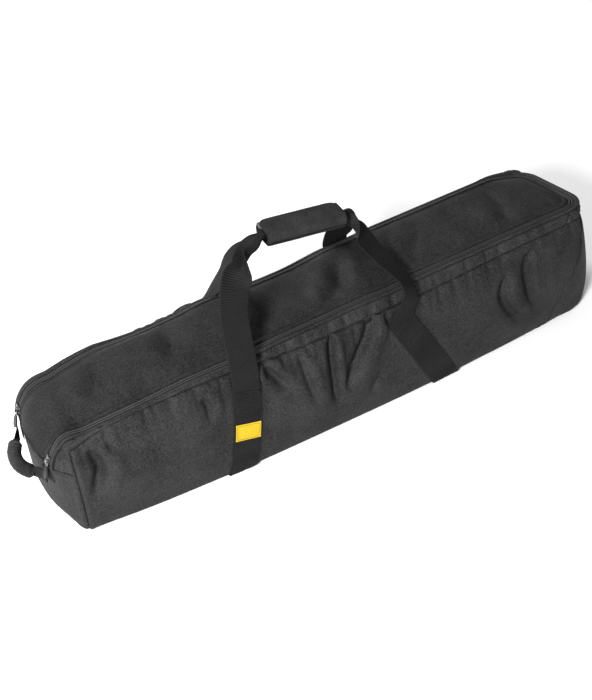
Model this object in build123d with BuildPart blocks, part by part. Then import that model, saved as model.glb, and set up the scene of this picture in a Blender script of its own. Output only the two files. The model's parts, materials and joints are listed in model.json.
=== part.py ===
"""Long soft carry bag for rolled drawings, tubes and stands.

The bag lies along X on its base, with the sliders and the end handle at -X.
The front is at -Y and the origin is under the middle of its bounding box.
"""

import os
from math import atan2, cos, degrees, radians, sin

from build123d import *

os.makedirs("parts", exist_ok=True)

# Cloth and webbing, mm
CLOTH = 2.0
WEBBING_WIDTH = 50.0
WEBBING = 2.0
FOLDED_WIDTH = 26.0
FOLDED_WEBBING = 4.2
GAP = 0.3

# Body, as half widths and heights
HALF_LENGTH = 499.0
LEFT_CORNER_X = -434.0
KNEE_X = -326.0
MIDDLE_X = (-225.0, 215.0)
RIGHT_CORNER_X = 422.0
HALF_WIDTH = {
    LEFT_CORNER_X: 97.0,
    KNEE_X: 107.0,
    MIDDLE_X[0]: 113.0,
    MIDDLE_X[1]: 113.0,
    RIGHT_CORNER_X: 104.0,
}
BASE_Z = WEBBING + GAP
SEAM_Z = 166.0
LEFT_SEAM_Z = 160.0
SEAM_Y = 84.0
LEFT_SEAM_Y = 82.0
BASE_INSET = 20.0
CORNER_STEPS = ((BASE_INSET, BASE_Z), (7.0, 7.0), (0.0, 20.0), (0.0, 45.0))
LEFT_END_TOP_Z = 118.0

# Zip: a long run that rises a little to the right, and an arc down the left end
KNEE_ZIP_Z, RIGHT_ZIP_Z = 189.0, 200.0
ZIP_Y = 64.0
ARC_ZIP_Y = 56.0
ARC_X, ARC_Z, ARC_R = -396.0, 118.0, 60.0
ARC_TOP_ANGLE = 10.0
ZIP_RIGHT_X = 448.0
ZIP_CORNER_R = ZIP_RIGHT_X - RIGHT_CORNER_X
TAPE_EDGE = 10.0
COIL_INNER, COIL_OUTER, COIL_HALF_HEIGHT = 0.7, 3.2, 1.2
TAPE_HALF = 0.4
COIL_END_ANGLE = 82.0
TAPE_END_ANGLE = 86.0
LID_END_ANGLE = 80.0
SLIDER_ANGLE = 75.0
LID_CROWN = 12.0
LID_SHOULDER = (0.55, 9.0)

# Straps and handles
STRAP_TOP_Z = 145.0
LEFT_STRAP_X = (-188.0, -168.0)
RIGHT_STRAP_X = (182.0, 104.0)
ATTACH_Y = 93.6
GRIP_CENTRE = (-3.0, 10.0, 303.5)
GRIP_AXIS = (140.0, -8.0, -13.0)
GRIP_LENGTH = 142.0
GRIP_HALF_WIDTH = 21.0
GRIP_LOW, GRIP_HIGH = -12.0, 14.0

# End handle
END_HANDLE_Y = 38.0
END_HANDLE_Z = 100.0
SLEEVE_R = 10.5


def blend(a, b, share):
    return a + (b - a) * share


def body_half_width(x):
    """Half width of the body at its widest, straight between stations."""
    stations = sorted(HALF_WIDTH)
    for low, high in zip(stations, stations[1:]):
        if low <= x <= high:
            return blend(HALF_WIDTH[low], HALF_WIDTH[high], (x - low) / (high - low))
    raise ValueError(x)


def seam_at(x):
    """Half width and height of the seam between a side panel and its gusset."""
    share = min(1.0, (x - LEFT_CORNER_X) / (KNEE_X - LEFT_CORNER_X))
    return blend(LEFT_SEAM_Y, SEAM_Y, share), blend(LEFT_SEAM_Z, SEAM_Z, share)


def side_outline(x, inset=0.0):
    """Outer side of a side panel as (half width, z), from the base to the seam."""
    half = body_half_width(x)
    seam_y, seam_z = seam_at(x)
    points = [(half - step - inset, z) for step, z in CORNER_STEPS]
    points.append((seam_y - inset, seam_z))
    return points


def side_half_width(x, z):
    """Half width of a side panel's outer face at height z."""
    points = side_outline(x)
    for (y0, z0), (y1, z1) in zip(points, points[1:]):
        if z0 <= z <= z1:
            return blend(y0, y1, (z - z0) / (z1 - z0))
    raise ValueError(z)


def polygon(plane, points):
    with BuildSketch(plane) as face:
        with BuildLine():
            Polyline(*points, close=True)
        make_face()
    return face.sketch


def rectangle(plane, u0, u1, w0, w1):
    return polygon(plane, [(u0, w0), (u1, w0), (u1, w1), (u0, w1)])


def across(point, outward, normal):
    """Section plane of the zip: local x points away from the lid, local y up."""
    outward, normal = Vector(*outward), Vector(*normal)
    return Plane(origin=point, x_dir=outward, z_dir=outward.cross(normal))


def arc_station(angle, side=-1):
    """Zip section on the left arc, angle in degrees from straight up."""
    a = radians(angle)
    point = (ARC_X - ARC_R * sin(a), side * ARC_ZIP_Y, ARC_Z + ARC_R * cos(a))
    return across(point, (0, side, 0), (-sin(a), 0, cos(a)))


def long_station(x, side=-1):
    """Zip section on the long run between the knee and the right corner."""
    z = blend(KNEE_ZIP_Z, RIGHT_ZIP_Z, (x - KNEE_X) / (RIGHT_CORNER_X - KNEE_X))
    return across((x, side * ZIP_Y, z), (0, side, 0), (0, 0, 1))


def corner_station(angle, side=-1):
    """Zip section round a right corner: 0 is on the long side, 90 on the end."""
    a = radians(angle)
    centre_y = ZIP_Y - ZIP_CORNER_R
    point = (
        RIGHT_CORNER_X + ZIP_CORNER_R * sin(a),
        side * (centre_y + ZIP_CORNER_R * cos(a)),
        RIGHT_ZIP_Z,
    )
    return across(point, (sin(a), side * cos(a), 0), (0, 0, 1))


def arc_angles(end, step=6.0):
    count = round((end - ARC_TOP_ANGLE) / step)
    return [end + (ARC_TOP_ANGLE - end) * i / count for i in range(count + 1)]


def zip_stations(end_angle):
    """Every zip section from the front slider's end round to the rear one's."""
    half = [(arc_station, a) for a in arc_angles(end_angle)]
    half += [(long_station, KNEE_X)]
    half += [(corner_station, a) for a in range(0, 91, 15)]
    front = [station(value, -1) for station, value in half]
    rear = [station(value, 1) for station, value in reversed(half)]
    return front + rear


def zip_strip(end_angle, u0, u1, half_height):
    return [rectangle(s, u0, u1, -half_height, half_height) for s in zip_stations(end_angle)]


# Body shell -------------------------------------------------------------------

with BuildPart() as front_panel:
    side_faces = []
    for station_x in sorted(HALF_WIDTH):
        outer = side_outline(station_x)
        inner = side_outline(station_x, CLOTH)
        inner[0] = (outer[0][0], BASE_Z + CLOTH)
        inner[1] = (outer[1][0] - 1.0, outer[1][1] + CLOTH)
        # Plane.YZ has the world's Y and Z as its local x and y.
        ring = [(-y, z) for y, z in outer + inner[::-1]]
        side_faces.append(polygon(Plane.YZ.offset(station_x), ring))
    loft(sections=side_faces, ruled=True)
front_panel.part.label = "front_panel"

with BuildPart() as rear_panel:
    mirror(front_panel.part, about=Plane.XZ)
rear_panel.part.label = "rear_panel"


def end_ring(levels):
    """Horizontal sections of an end panel: each level is (z, outer points)."""
    faces = []
    for z, outer, inner in levels:
        half = outer + [(x, -y) for x, y in outer[::-1]]
        back = inner + [(x, -y) for x, y in inner[::-1]]
        faces.append(polygon(Plane.XY.offset(z), half + back[::-1]))
    return faces


def left_outline(z, bulge, inset=0.0):
    corner = side_half_width(LEFT_CORNER_X, z) - inset
    return [
        (LEFT_CORNER_X, -corner),
        (LEFT_CORNER_X - 0.55 * bulge, -0.68 * corner),
        (LEFT_CORNER_X - bulge + inset, -0.3 * corner),
    ]


LEFT_BULGE = ((BASE_Z, 16.0), (7.0, 22.0), (20.0, 28.0), (45.0, 30.0), (LEFT_END_TOP_Z, 29.0))
with BuildPart() as left_end_panel:
    left_levels = []
    for level_z, bulge in LEFT_BULGE:
        outer = left_outline(level_z, bulge)
        inner = [(x + (0.0 if i == 0 else CLOTH), y + CLOTH) for i, (x, y) in enumerate(outer)]
        left_levels.append((level_z, outer, inner))
    loft(sections=end_ring(left_levels), ruled=True)
left_end_panel.part.label = "left_end_panel"


def right_outline(reach, corner, inset=0.0):
    """Plan of the right end: rounded corners between the sides and the end."""
    straight = ZIP_Y - ZIP_CORNER_R
    points = []
    for angle in (0, 30, 60, 90):
        x = RIGHT_CORNER_X + (reach - inset - RIGHT_CORNER_X) * sin(radians(angle))
        y = straight + (corner - inset - straight) * cos(radians(angle))
        points.append((x, -y))
    return points


SEAM_X = ZIP_RIGHT_X + SEAM_Y - ZIP_Y
RIGHT_REACH = (
    (BASE_Z, HALF_LENGTH - 20),
    (7.0, HALF_LENGTH - 8),
    (20.0, HALF_LENGTH),
    (45.0, HALF_LENGTH),
    (100.0, HALF_LENGTH - 9),
    (SEAM_Z, SEAM_X),
)
with BuildPart() as right_end_panel:
    right_levels = []
    for level_z, reach in RIGHT_REACH:
        corner = side_half_width(RIGHT_CORNER_X, level_z)
        plans = right_outline(reach, corner), right_outline(reach, corner, CLOTH)
        right_levels.append((level_z, *plans))
    loft(sections=end_ring(right_levels), ruled=True)
right_end_panel.part.label = "right_end_panel"

with BuildPart() as base_panel:
    edge = [(x, -(body_half_width(x) - BASE_INSET)) for x in sorted(HALF_WIDTH)]
    clear = CLOTH + GAP
    left_corner, *left_end = left_outline(BASE_Z, LEFT_BULGE[0][1], clear)
    left_edge = [(x + (clear if y < -50 else 0), y) for x, y in left_end[::-1]] + [left_corner]
    right_corner = side_half_width(RIGHT_CORNER_X, BASE_Z)
    right_edge = right_outline(RIGHT_REACH[0][1], right_corner, clear)
    base_half = left_edge + edge + right_edge
    with BuildSketch(Plane.XY.offset(BASE_Z)):
        with BuildLine():
            Polyline(*base_half, *[(x, -y) for x, y in base_half[::-1]], close=True)
        make_face()
    extrude(amount=CLOTH)
base_panel.part.label = "base_panel"


# Gussets between the side panels and the zip ------------------------------------

TOP_FACE, UNDER_FACE = 1.0, 1.0 - CLOTH


def seam_on_ray(angle):
    """Seam point in an arc section: local (u, w) where the ray meets the seam."""
    a = radians(angle)
    # The seam runs along the panel's top to the corner, then down its edge.
    corner_angle = degrees(atan2(ARC_X - LEFT_CORNER_X, LEFT_SEAM_Z - ARC_Z))
    if angle <= corner_angle:
        slope = (SEAM_Z - LEFT_SEAM_Z) / (KNEE_X - LEFT_CORNER_X)
        top_at_arc = LEFT_SEAM_Z + slope * (ARC_X - LEFT_CORNER_X)
        radius = (top_at_arc - ARC_Z) / (cos(a) + slope * sin(a))
        half = seam_at(ARC_X - radius * sin(a))[0]
    else:
        radius = (ARC_X - LEFT_CORNER_X) / sin(a)
        half = side_half_width(LEFT_CORNER_X, ARC_Z + radius * cos(a))
    return half - ARC_ZIP_Y, radius - ARC_R


def gusset_face(plane, seam):
    u, w = seam
    return polygon(
        plane, [(TAPE_EDGE, TOP_FACE), (u, w), (u - CLOTH, w), (TAPE_EDGE, UNDER_FACE)]
    )


RIGHT_SEAM = (SEAM_Y - ZIP_Y, SEAM_Z - RIGHT_ZIP_Z)
SEAM_CORNER_ANGLE = degrees(atan2(ARC_X - LEFT_CORNER_X, LEFT_SEAM_Z - ARC_Z))
with BuildPart() as front_gusset:
    gusset_angles = [TAPE_END_ANGLE, 76.0, 66.0, 55.0, SEAM_CORNER_ANGLE, 26.0, ARC_TOP_ANGLE]
    gusset_faces = [gusset_face(arc_station(a), seam_on_ray(a)) for a in gusset_angles]
    knee_seam = SEAM_Y - ZIP_Y, SEAM_Z - KNEE_ZIP_Z
    gusset_faces.append(gusset_face(long_station(KNEE_X), knee_seam))
    gusset_faces.append(gusset_face(long_station(RIGHT_CORNER_X), RIGHT_SEAM))
    loft(sections=gusset_faces, ruled=True)
front_gusset.part.label = "front_gusset"

with BuildPart() as rear_gusset:
    mirror(front_gusset.part, about=Plane.XZ)
rear_gusset.part.label = "rear_gusset"

with BuildPart() as right_end_gusset:
    corner_angles = range(0, 91, 15)
    end_faces = [gusset_face(corner_station(a, -1), RIGHT_SEAM) for a in corner_angles]
    end_faces += [gusset_face(corner_station(a, 1), RIGHT_SEAM) for a in reversed(corner_angles)]
    loft(sections=end_faces, ruled=True)
right_end_gusset.part.label = "right_end_gusset"


# Lid --------------------------------------------------------------------------


def lid_face(plane, half, crown):
    """Crowned section of the lid, in a plane across the bag through its middle."""
    shoulder, share = LID_SHOULDER[0] * half, LID_SHOULDER[1] / LID_CROWN
    top = [(-half, TOP_FACE), (-shoulder, share * crown), (0, crown), (shoulder, share * crown)]
    top.append((half, TOP_FACE))
    return polygon(plane, top + [(u, w - CLOTH) for u, w in top[::-1]])


def lid_plane(x, z, angle=0.0):
    a = radians(angle)
    normal = Vector(-sin(a), 0, cos(a))
    return Plane(origin=(x, 0, z), x_dir=(0, -1, 0), z_dir=Vector(0, -1, 0).cross(normal))


with BuildPart() as lid_panel:
    lid_faces = []
    for angle in arc_angles(LID_END_ANGLE, 10.0):
        a = radians(angle)
        plane = lid_plane(ARC_X - ARC_R * sin(a), ARC_Z + ARC_R * cos(a), angle)
        lid_faces.append(lid_face(plane, ARC_ZIP_Y - TAPE_EDGE, LID_CROWN))
    lid_faces.append(lid_face(lid_plane(KNEE_X, KNEE_ZIP_Z), ZIP_Y - TAPE_EDGE, LID_CROWN))
    lid_corner_r = ZIP_CORNER_R - TAPE_EDGE
    for angle, crown in ((0, 12.0), (30, 7.0), (60, 4.0), (90, 2.0)):
        x = RIGHT_CORNER_X + lid_corner_r * sin(radians(angle))
        half = ZIP_Y - ZIP_CORNER_R + lid_corner_r * cos(radians(angle))
        lid_faces.append(lid_face(lid_plane(x, RIGHT_ZIP_Z), half, crown))
    loft(sections=lid_faces, ruled=True)
lid_panel.part.label = "lid_panel"

LID_EDGE_Z = ARC_Z + ARC_R * cos(radians(LID_END_ANGLE))
with BuildPart() as lid_hinge_seam:
    low = left_outline(LEFT_END_TOP_Z, LEFT_BULGE[-1][1])
    edge_y = ARC_ZIP_Y - TAPE_EDGE
    low_x = low[1][0]
    hinge_faces = []
    for z, side_x, middle_x in (
        (LEFT_END_TOP_Z + GAP, low_x - 1.0, low[2][0]),
        (LID_EDGE_Z - 1.2, low_x - 2.0, low[2][0] - 2.0),
    ):
        outer = [(side_x, -edge_y), (middle_x, -0.5 * edge_y)]
        inner = [(x + CLOTH, y) for x, y in outer]
        hinge_faces += end_ring([(z, outer, inner)])
    loft(sections=hinge_faces, ruled=True)
lid_hinge_seam.part.label = "lid_hinge_seam"


# Zip --------------------------------------------------------------------------

with BuildPart() as zip_coil_body:
    loft(sections=zip_strip(COIL_END_ANGLE, COIL_INNER, COIL_OUTER, COIL_HALF_HEIGHT), ruled=True)
zip_coil_body.part.label = "zip_coil_body"

with BuildPart() as zip_coil_lid:
    loft(sections=zip_strip(COIL_END_ANGLE, -COIL_OUTER, -COIL_INNER, COIL_HALF_HEIGHT), ruled=True)
zip_coil_lid.part.label = "zip_coil_lid"

with BuildPart() as zip_tape_body:
    loft(sections=zip_strip(TAPE_END_ANGLE, COIL_OUTER, TAPE_EDGE, TAPE_HALF), ruled=True)
zip_tape_body.part.label = "zip_tape_body"

with BuildPart() as zip_tape_lid:
    loft(sections=zip_strip(COIL_END_ANGLE, -TAPE_EDGE, -COIL_OUTER, TAPE_HALF), ruled=True)
zip_tape_lid.part.label = "zip_tape_lid"

with BuildPart() as zip_end_stops:
    for side in (-1, 1):
        with BuildSketch(arc_station(COIL_END_ANGLE + 2.2, side)):
            with Locations(((COIL_INNER + COIL_OUTER) / 2, 0)):
                Rectangle(COIL_OUTER - COIL_INNER - 0.2, 3.0)
        extrude(amount=1.6, both=True)
zip_end_stops.part.label = "zip_end_stops"

SLIDER_HALF_WIDTH = 6.0
SLIDER_HALF_LENGTH = 5.5
CHANNEL = 2.0
PLATE = 1.4
FLANGE_TIP = 0.9
POST_HALF = 0.3
BAIL_W = 7.2


def slider_profile(plane):
    """Two flanged plates joined by a thin post that runs between the coils."""
    wide, top = SLIDER_HALF_WIDTH, CHANNEL + PLATE
    flange = wide - 1.0
    with BuildSketch(plane) as face:
        for turn in (1, -1):
            with BuildLine():
                Polyline(
                    (-wide, turn * FLANGE_TIP),
                    (-wide, turn * top),
                    (wide, turn * top),
                    (wide, turn * FLANGE_TIP),
                    (flange, turn * FLANGE_TIP),
                    (flange, turn * CHANNEL),
                    (-flange, turn * CHANNEL),
                    (-flange, turn * FLANGE_TIP),
                    close=True,
                )
            make_face()
        Rectangle(2 * POST_HALF, 2 * CHANNEL + PLATE)
    return face.sketch


def slider_bail(plane):
    """Bridge on the slider's top plate that carries the pull, seen side on."""
    middle = Plane(origin=plane.origin, x_dir=plane.z_dir, z_dir=plane.x_dir)
    turn = 1 if middle.y_dir.dot(plane.y_dir) > 0 else -1
    top = CHANNEL + PLATE
    with BuildSketch(middle) as face:
        with BuildLine():
            Polyline(
                (-4.2, turn * (top - 0.2)),
                (-3.2, turn * (BAIL_W + 0.9)),
                (3.2, turn * (BAIL_W + 0.9)),
                (4.2, turn * (top - 0.2)),
                (2.9, turn * (top - 0.2)),
                (2.1, turn * (BAIL_W - 0.3)),
                (-2.1, turn * (BAIL_W - 0.3)),
                (-2.9, turn * (top - 0.2)),
                close=True,
            )
        make_face()
    return face.sketch


with BuildPart() as front_slider:
    extrude(slider_profile(arc_station(SLIDER_ANGLE)), amount=SLIDER_HALF_LENGTH, both=True)
    extrude(slider_bail(arc_station(SLIDER_ANGLE)), amount=1.0, both=True)
front_slider.part.label = "front_slider"

with BuildPart() as rear_slider:
    mirror(front_slider.part, about=Plane.XZ)
rear_slider.part.label = "rear_slider"

# The pull's bar turns under the bail, its eye is round the bail's lower leg, and
# its plate and tab hang towards the zip's end.
PULL_W = (CHANNEL + PLATE + BAIL_W) / 2
pull_station = arc_station(SLIDER_ANGLE)
pull_plane = Plane(
    origin=pull_station.origin + pull_station.y_dir * PULL_W,
    x_dir=pull_station.x_dir,
    z_dir=pull_station.y_dir,
)
# In this plane local y points up the zip.
with BuildPart() as front_pull:
    with BuildSketch(pull_plane):
        with Locations((0, -4.4)):
            RectangleRounded(6.4, 11.2, 1.0)
        with Locations((0, -3.2)):
            Rectangle(3.6, 4.4, mode=Mode.SUBTRACT)
    extrude(amount=0.6, both=True)
front_pull.part.label = "front_pull"

with BuildPart() as front_pull_tab:
    with BuildSketch(pull_plane):
        with BuildLine():
            Polyline((-2.2, -10.4), (2.2, -10.4), (5.2, -20.0), (4.2, -30.0), (0, -34.0))
            Polyline((0, -34.0), (-4.2, -30.0), (-5.2, -20.0), (-2.2, -10.4))
        make_face()
    extrude(amount=1.1, both=True)
front_pull_tab.part.label = "front_pull_tab"

with BuildPart() as rear_pull:
    mirror(front_pull.part, about=Plane.XZ)
rear_pull.part.label = "rear_pull"

with BuildPart() as rear_pull_tab:
    mirror(front_pull_tab.part, about=Plane.XZ)
rear_pull_tab.part.label = "rear_pull_tab"


# Straps round the body ----------------------------------------------------------


def middle_outline(outset):
    """The body's middle section, offset outwards, as a closed sketch on Plane.YZ."""
    half = side_outline(MIDDLE_X[0])
    with BuildSketch(Plane.YZ) as face:
        with BuildLine():
            Polyline(*[(-y, z) for y, z in half], *[(y, z) for y, z in half[::-1]], close=True)
        make_face()
        offset(amount=outset, kind=Kind.INTERSECTION)
    return face.sketch


strap_ring = middle_outline(GAP + WEBBING) - middle_outline(GAP)


def strap_silhouette(bottom_x, top_x):
    """The strap's slanted outline seen from the front, cut off at its top."""
    half = WEBBING_WIDTH / 2
    points = [
        (bottom_x - half, -5),
        (bottom_x + half, -5),
        (top_x + half, STRAP_TOP_Z),
        (top_x - half, STRAP_TOP_Z),
    ]
    return polygon(Plane.XZ, points)


straps = {}
for strap_name, (bottom_x, top_x) in (("left", LEFT_STRAP_X), ("right", RIGHT_STRAP_X)):
    with BuildPart() as strap:
        extrude(Pos(bottom_x, 0, 0) * strap_ring, amount=2 * WEBBING_WIDTH + 20, both=True)
        extrude(
            strap_silhouette(bottom_x, top_x), amount=HALF_LENGTH, both=True, mode=Mode.INTERSECT
        )
    strap.part.label = f"{strap_name}_body_strap"
    straps[strap_name] = strap.part

LABEL_WIDTH, LABEL_HEIGHT, LABEL_Z = 42.0, 30.0, 76.0
side_low, side_high = side_outline(MIDDLE_X[0])[-2:]
SIDE_LEAN = degrees(atan2(side_low[0] - side_high[0], side_high[1] - side_low[1]))


def strap_surface(x, z):
    """Plane on the front strap's outer face, local y up the slanted side."""
    y = side_half_width(MIDDLE_X[0], z) + (GAP + WEBBING) / cos(radians(SIDE_LEAN))
    lean = radians(SIDE_LEAN)
    return Plane(origin=(x, -y, z), x_dir=(1, 0, 0), z_dir=(0, -cos(lean), sin(lean)))


def strap_x(bottom_x, top_x, z):
    return blend(bottom_x, top_x, (z + 5) / (STRAP_TOP_Z + 5))


with BuildPart() as label:
    with BuildSketch(strap_surface(strap_x(*LEFT_STRAP_X, LABEL_Z), LABEL_Z)):
        Rectangle(LABEL_WIDTH, LABEL_HEIGHT)
    extrude(amount=0.6)
label.part.label = "label"

with BuildPart() as strap_box_stitches:
    for bottom_x, top_x in (LEFT_STRAP_X, RIGHT_STRAP_X):
        stitch_z = STRAP_TOP_Z - 20
        with BuildSketch(strap_surface(strap_x(bottom_x, top_x, stitch_z), stitch_z)):
            Rectangle(32, 26)
            Rectangle(30.4, 24.4, mode=Mode.SUBTRACT)
        extrude(amount=0.4)
    mirror(about=Plane.XZ)
strap_box_stitches.part.label = "strap_box_stitches"


# Carrying handles -----------------------------------------------------------------

grip_x = Vector(*GRIP_AXIS).normalized()
grip_side = Vector(0, 0, 1).cross(grip_x).normalized()
# Local x runs along the grip, local y towards the rear and local z up.
grip_plane = Plane(origin=GRIP_CENTRE, x_dir=grip_x, z_dir=grip_x.cross(grip_side))


def grip_point(along, side, up):
    return grip_plane.from_local_coords(Vector(along, side, up))


def ribbon(route):
    """Rectangular sections of a webbing: each stop is (point, normal, width, thickness)."""
    faces = []
    points = [Vector(*stop[0]) for stop in route]
    for i, (_, normal, width, thickness) in enumerate(route):
        tangent = points[min(i + 1, len(points) - 1)] - points[max(i - 1, 0)]
        side = tangent.cross(Vector(*normal)).normalized()
        with BuildSketch(Plane(origin=points[i], x_dir=side, z_dir=tangent)) as face:
            Rectangle(width, thickness)
        faces.append(face.sketch)
    return faces


def handle_route(left, right, lay):
    """Left leg, folded grip section and right leg of one handle, end to end."""
    half = GRIP_LENGTH / 2 + 4
    folded = FOLDED_WIDTH, FOLDED_WEBBING
    up = tuple(grip_plane.z_dir)
    grip = [(tuple(grip_point(x, *lay)), up, *folded) for x in (-half, half)]
    return left + grip + right[::-1]


WIDE = WEBBING_WIDTH, WEBBING
FRONT_LEFT_LEG = [
    ((-168, -ATTACH_Y, 148), (0, -1, 0), *WIDE),
    ((-167, -93.5, 170), (0, -1, 0.1), *WIDE),
    ((-166, -84, 205), (0, -1, 0.3), *WIDE),
    ((-165, -72, 240), (0, -1, 0.3), *WIDE),
    ((-162, -62, 275), (-0.2, -1, 0.4), *WIDE),
    ((-148, -48, 303), (-0.6, -0.8, 0.7), 46.0, 2.2),
    ((-122, -27, 317), (-0.2, -0.4, 1.0), 36.0, 3.0),
    ((-95, -3, 317), (0, -0.1, 1.0), 28.0, 4.0),
]
FRONT_RIGHT_LEG = [
    ((104, -ATTACH_Y, 148), (0, -1, 0), *WIDE),
    ((104, -95, 158), (0, -1, 0), *WIDE),
    ((114, -96, 174), (0.1, -1, 0), *WIDE),
    ((120, -93, 192), (0.2, -1, 0.3), *WIDE),
    ((114, -74, 217), (0.5, -0.7, 0.6), *WIDE),
    ((107, -44, 242), (0.5, -0.6, 0.6), 46.0, 2.2),
    ((102, -22, 267), (0.7, -0.4, 0.6), 38.0, 2.8),
    ((92, -4, 286), (0.6, -0.1, 0.9), 30.0, 3.6),
]
REAR_LEFT_LEG = [
    ((-160, ATTACH_Y, 148), (0, 1, 0), *WIDE),
    ((-160, 93.8, 158), (0, 1, 0), *WIDE),
    ((-152, 93.5, 174), (0, 1, 0.1), *WIDE),
    ((-136, 82, 203), (0, 1, 0.4), *WIDE),
    ((-116, 66, 238), (-0.3, 1, 0.4), *WIDE),
    ((-102, 47, 268), (-0.6, 0.8, 0.4), 44.0, 2.2),
    ((-92, 29, 291), (-0.8, 0.4, 0.6), 34.0, 3.2),
]
REAR_RIGHT_LEG = [
    ((104, ATTACH_Y, 148), (0, 1, 0), *WIDE),
    ((103, 93.5, 170), (0, 1, 0.1), *WIDE),
    ((99, 82, 203), (0, 1, 0.4), *WIDE),
    ((94, 64, 234), (0.3, 1, 0.4), *WIDE),
    ((90, 44, 260), (0.6, 0.8, 0.4), 40.0, 2.2),
    ((84, 27, 281), (0.5, 0.4, 0.8), 30.0, 3.6),
]
# Where each folded webbing lies in the wrap: (towards the rear, up).
FRONT_LAY, REAR_LAY = (-1.5, 2.7), (1.5, -2.7)

with BuildPart() as front_handle:
    loft(sections=ribbon(handle_route(FRONT_LEFT_LEG, FRONT_RIGHT_LEG, FRONT_LAY)), ruled=True)
front_handle.part.label = "front_handle"

with BuildPart() as rear_handle:
    loft(sections=ribbon(handle_route(REAR_LEFT_LEG, REAR_RIGHT_LEG, REAR_LAY)), ruled=True)
rear_handle.part.label = "rear_handle"

# Padded wrap: a pad under and behind the webbing, and a flap over the front and top.
PAD_WALL = 5.5
CAVITY_LOW = GRIP_LOW + PAD_WALL
TONGUE = (5.2, 7.2)
TONGUE_FRONT = 1.0
FLAP_UNDER = 9.6
BINDING = 1.5
PATCH_SIZE = (GRIP_LENGTH - 12, 15.0)
PATCH_SIDE = 10.0
grip_end = Plane(
    origin=grip_plane.from_local_coords(Vector(-GRIP_LENGTH / 2, 0, 0)),
    x_dir=grip_plane.y_dir,
    z_dir=grip_plane.x_dir,
)

with BuildPart() as grip_pad:
    with BuildSketch(grip_end):
        with BuildLine():
            Polyline(
                (-GRIP_HALF_WIDTH, GRIP_LOW),
                (GRIP_HALF_WIDTH, GRIP_LOW),
                (GRIP_HALF_WIDTH, TONGUE[1]),
                (TONGUE_FRONT, TONGUE[1]),
                (TONGUE_FRONT, TONGUE[0]),
                (GRIP_HALF_WIDTH - PAD_WALL, TONGUE[0]),
                (GRIP_HALF_WIDTH - PAD_WALL, CAVITY_LOW),
                (-GRIP_HALF_WIDTH, CAVITY_LOW),
                close=True,
            )
        make_face()
    extrude(amount=GRIP_LENGTH)
grip_pad.part.label = "grip_pad"

with BuildPart() as grip_flap:
    with BuildSketch(grip_end):
        with BuildLine():
            Polyline(
                (-GRIP_HALF_WIDTH, CAVITY_LOW + GAP),
                (-GRIP_HALF_WIDTH, GRIP_HIGH),
                (GRIP_HALF_WIDTH, GRIP_HIGH),
                (GRIP_HALF_WIDTH, FLAP_UNDER),
                (-GRIP_HALF_WIDTH + 5, FLAP_UNDER),
                (-GRIP_HALF_WIDTH + 5, CAVITY_LOW + GAP),
                close=True,
            )
        make_face()
    extrude(amount=GRIP_LENGTH)
grip_flap.part.label = "grip_flap"

with BuildPart() as grip_flap_binding:
    with BuildSketch(grip_plane.offset(FLAP_UNDER + 0.6)):
        with Locations((0, BINDING)):
            Rectangle(GRIP_LENGTH + 2 * BINDING, 2 * GRIP_HALF_WIDTH)
        Rectangle(GRIP_LENGTH, 2 * GRIP_HALF_WIDTH, mode=Mode.SUBTRACT)
        with Locations((0, -GRIP_HALF_WIDTH)):
            Rectangle(2 * GRIP_LENGTH, 12, mode=Mode.SUBTRACT)
    extrude(amount=3.4)
grip_flap_binding.part.label = "grip_flap_binding"

with BuildPart() as grip_loop_patch:
    with BuildSketch(grip_plane.offset(TONGUE[1])):
        with Locations((0, PATCH_SIDE)):
            Rectangle(*PATCH_SIZE)
    extrude(amount=1.0)
grip_loop_patch.part.label = "grip_loop_patch"

with BuildPart() as grip_hook_patch:
    with BuildSketch(grip_plane.offset(FLAP_UNDER - 1.0)):
        with Locations((0, PATCH_SIDE)):
            Rectangle(*PATCH_SIZE)
    extrude(amount=1.0)
grip_hook_patch.part.label = "grip_hook_patch"


# End handle -----------------------------------------------------------------------

END_FACE_X = LEFT_CORNER_X - LEFT_BULGE[-1][1]
HANDLE_OUT_X = -HALF_LENGTH + SLEEVE_R
ANCHOR_X = END_FACE_X - GAP - 1.5

with BuildPart() as end_handle_sleeve:
    with BuildLine() as sleeve_line:
        Spline(
            (ANCHOR_X - 14, -30, END_HANDLE_Z - 1),
            (HANDLE_OUT_X, 0, END_HANDLE_Z - 4),
            (ANCHOR_X - 14, 30, END_HANDLE_Z - 1),
            tangents=((-1, 0.9, 0), (1, 0.9, 0)),
        )
    with BuildSketch(Plane(origin=sleeve_line.line @ 0, z_dir=sleeve_line.line % 0)):
        Circle(SLEEVE_R)
    sweep()
end_handle_sleeve.part.label = "end_handle_sleeve"

with BuildPart() as end_handle_webbing:
    for side in (-1, 1):
        webbing_end = [
            ((ANCHOR_X - 2.9, side * 46, END_HANDLE_Z + 1), (-1, side * 0.4, 0), 24.0, 2.4),
            ((ANCHOR_X - 5.5, side * END_HANDLE_Y, END_HANDLE_Z), (-1, side * 0.9, 0), 22.0, 2.8),
            ((ANCHOR_X - 12.6, side * 31.2, END_HANDLE_Z - 1), (-0.9, side * 1, 0), 17.0, 3.6),
        ]
        loft(sections=ribbon(webbing_end), ruled=True)
end_handle_webbing.part.label = "end_handle_webbing"

with BuildPart() as end_handle_anchors:
    for side in (-1, 1):
        with Locations((ANCHOR_X + 0.2, side * END_HANDLE_Y, END_HANDLE_Z)):
            Box(2.0, 17.0, 28.0)
end_handle_anchors.part.label = "end_handle_anchors"


# Bindings over the raw edges inside the long seams -----------------------------------

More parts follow.
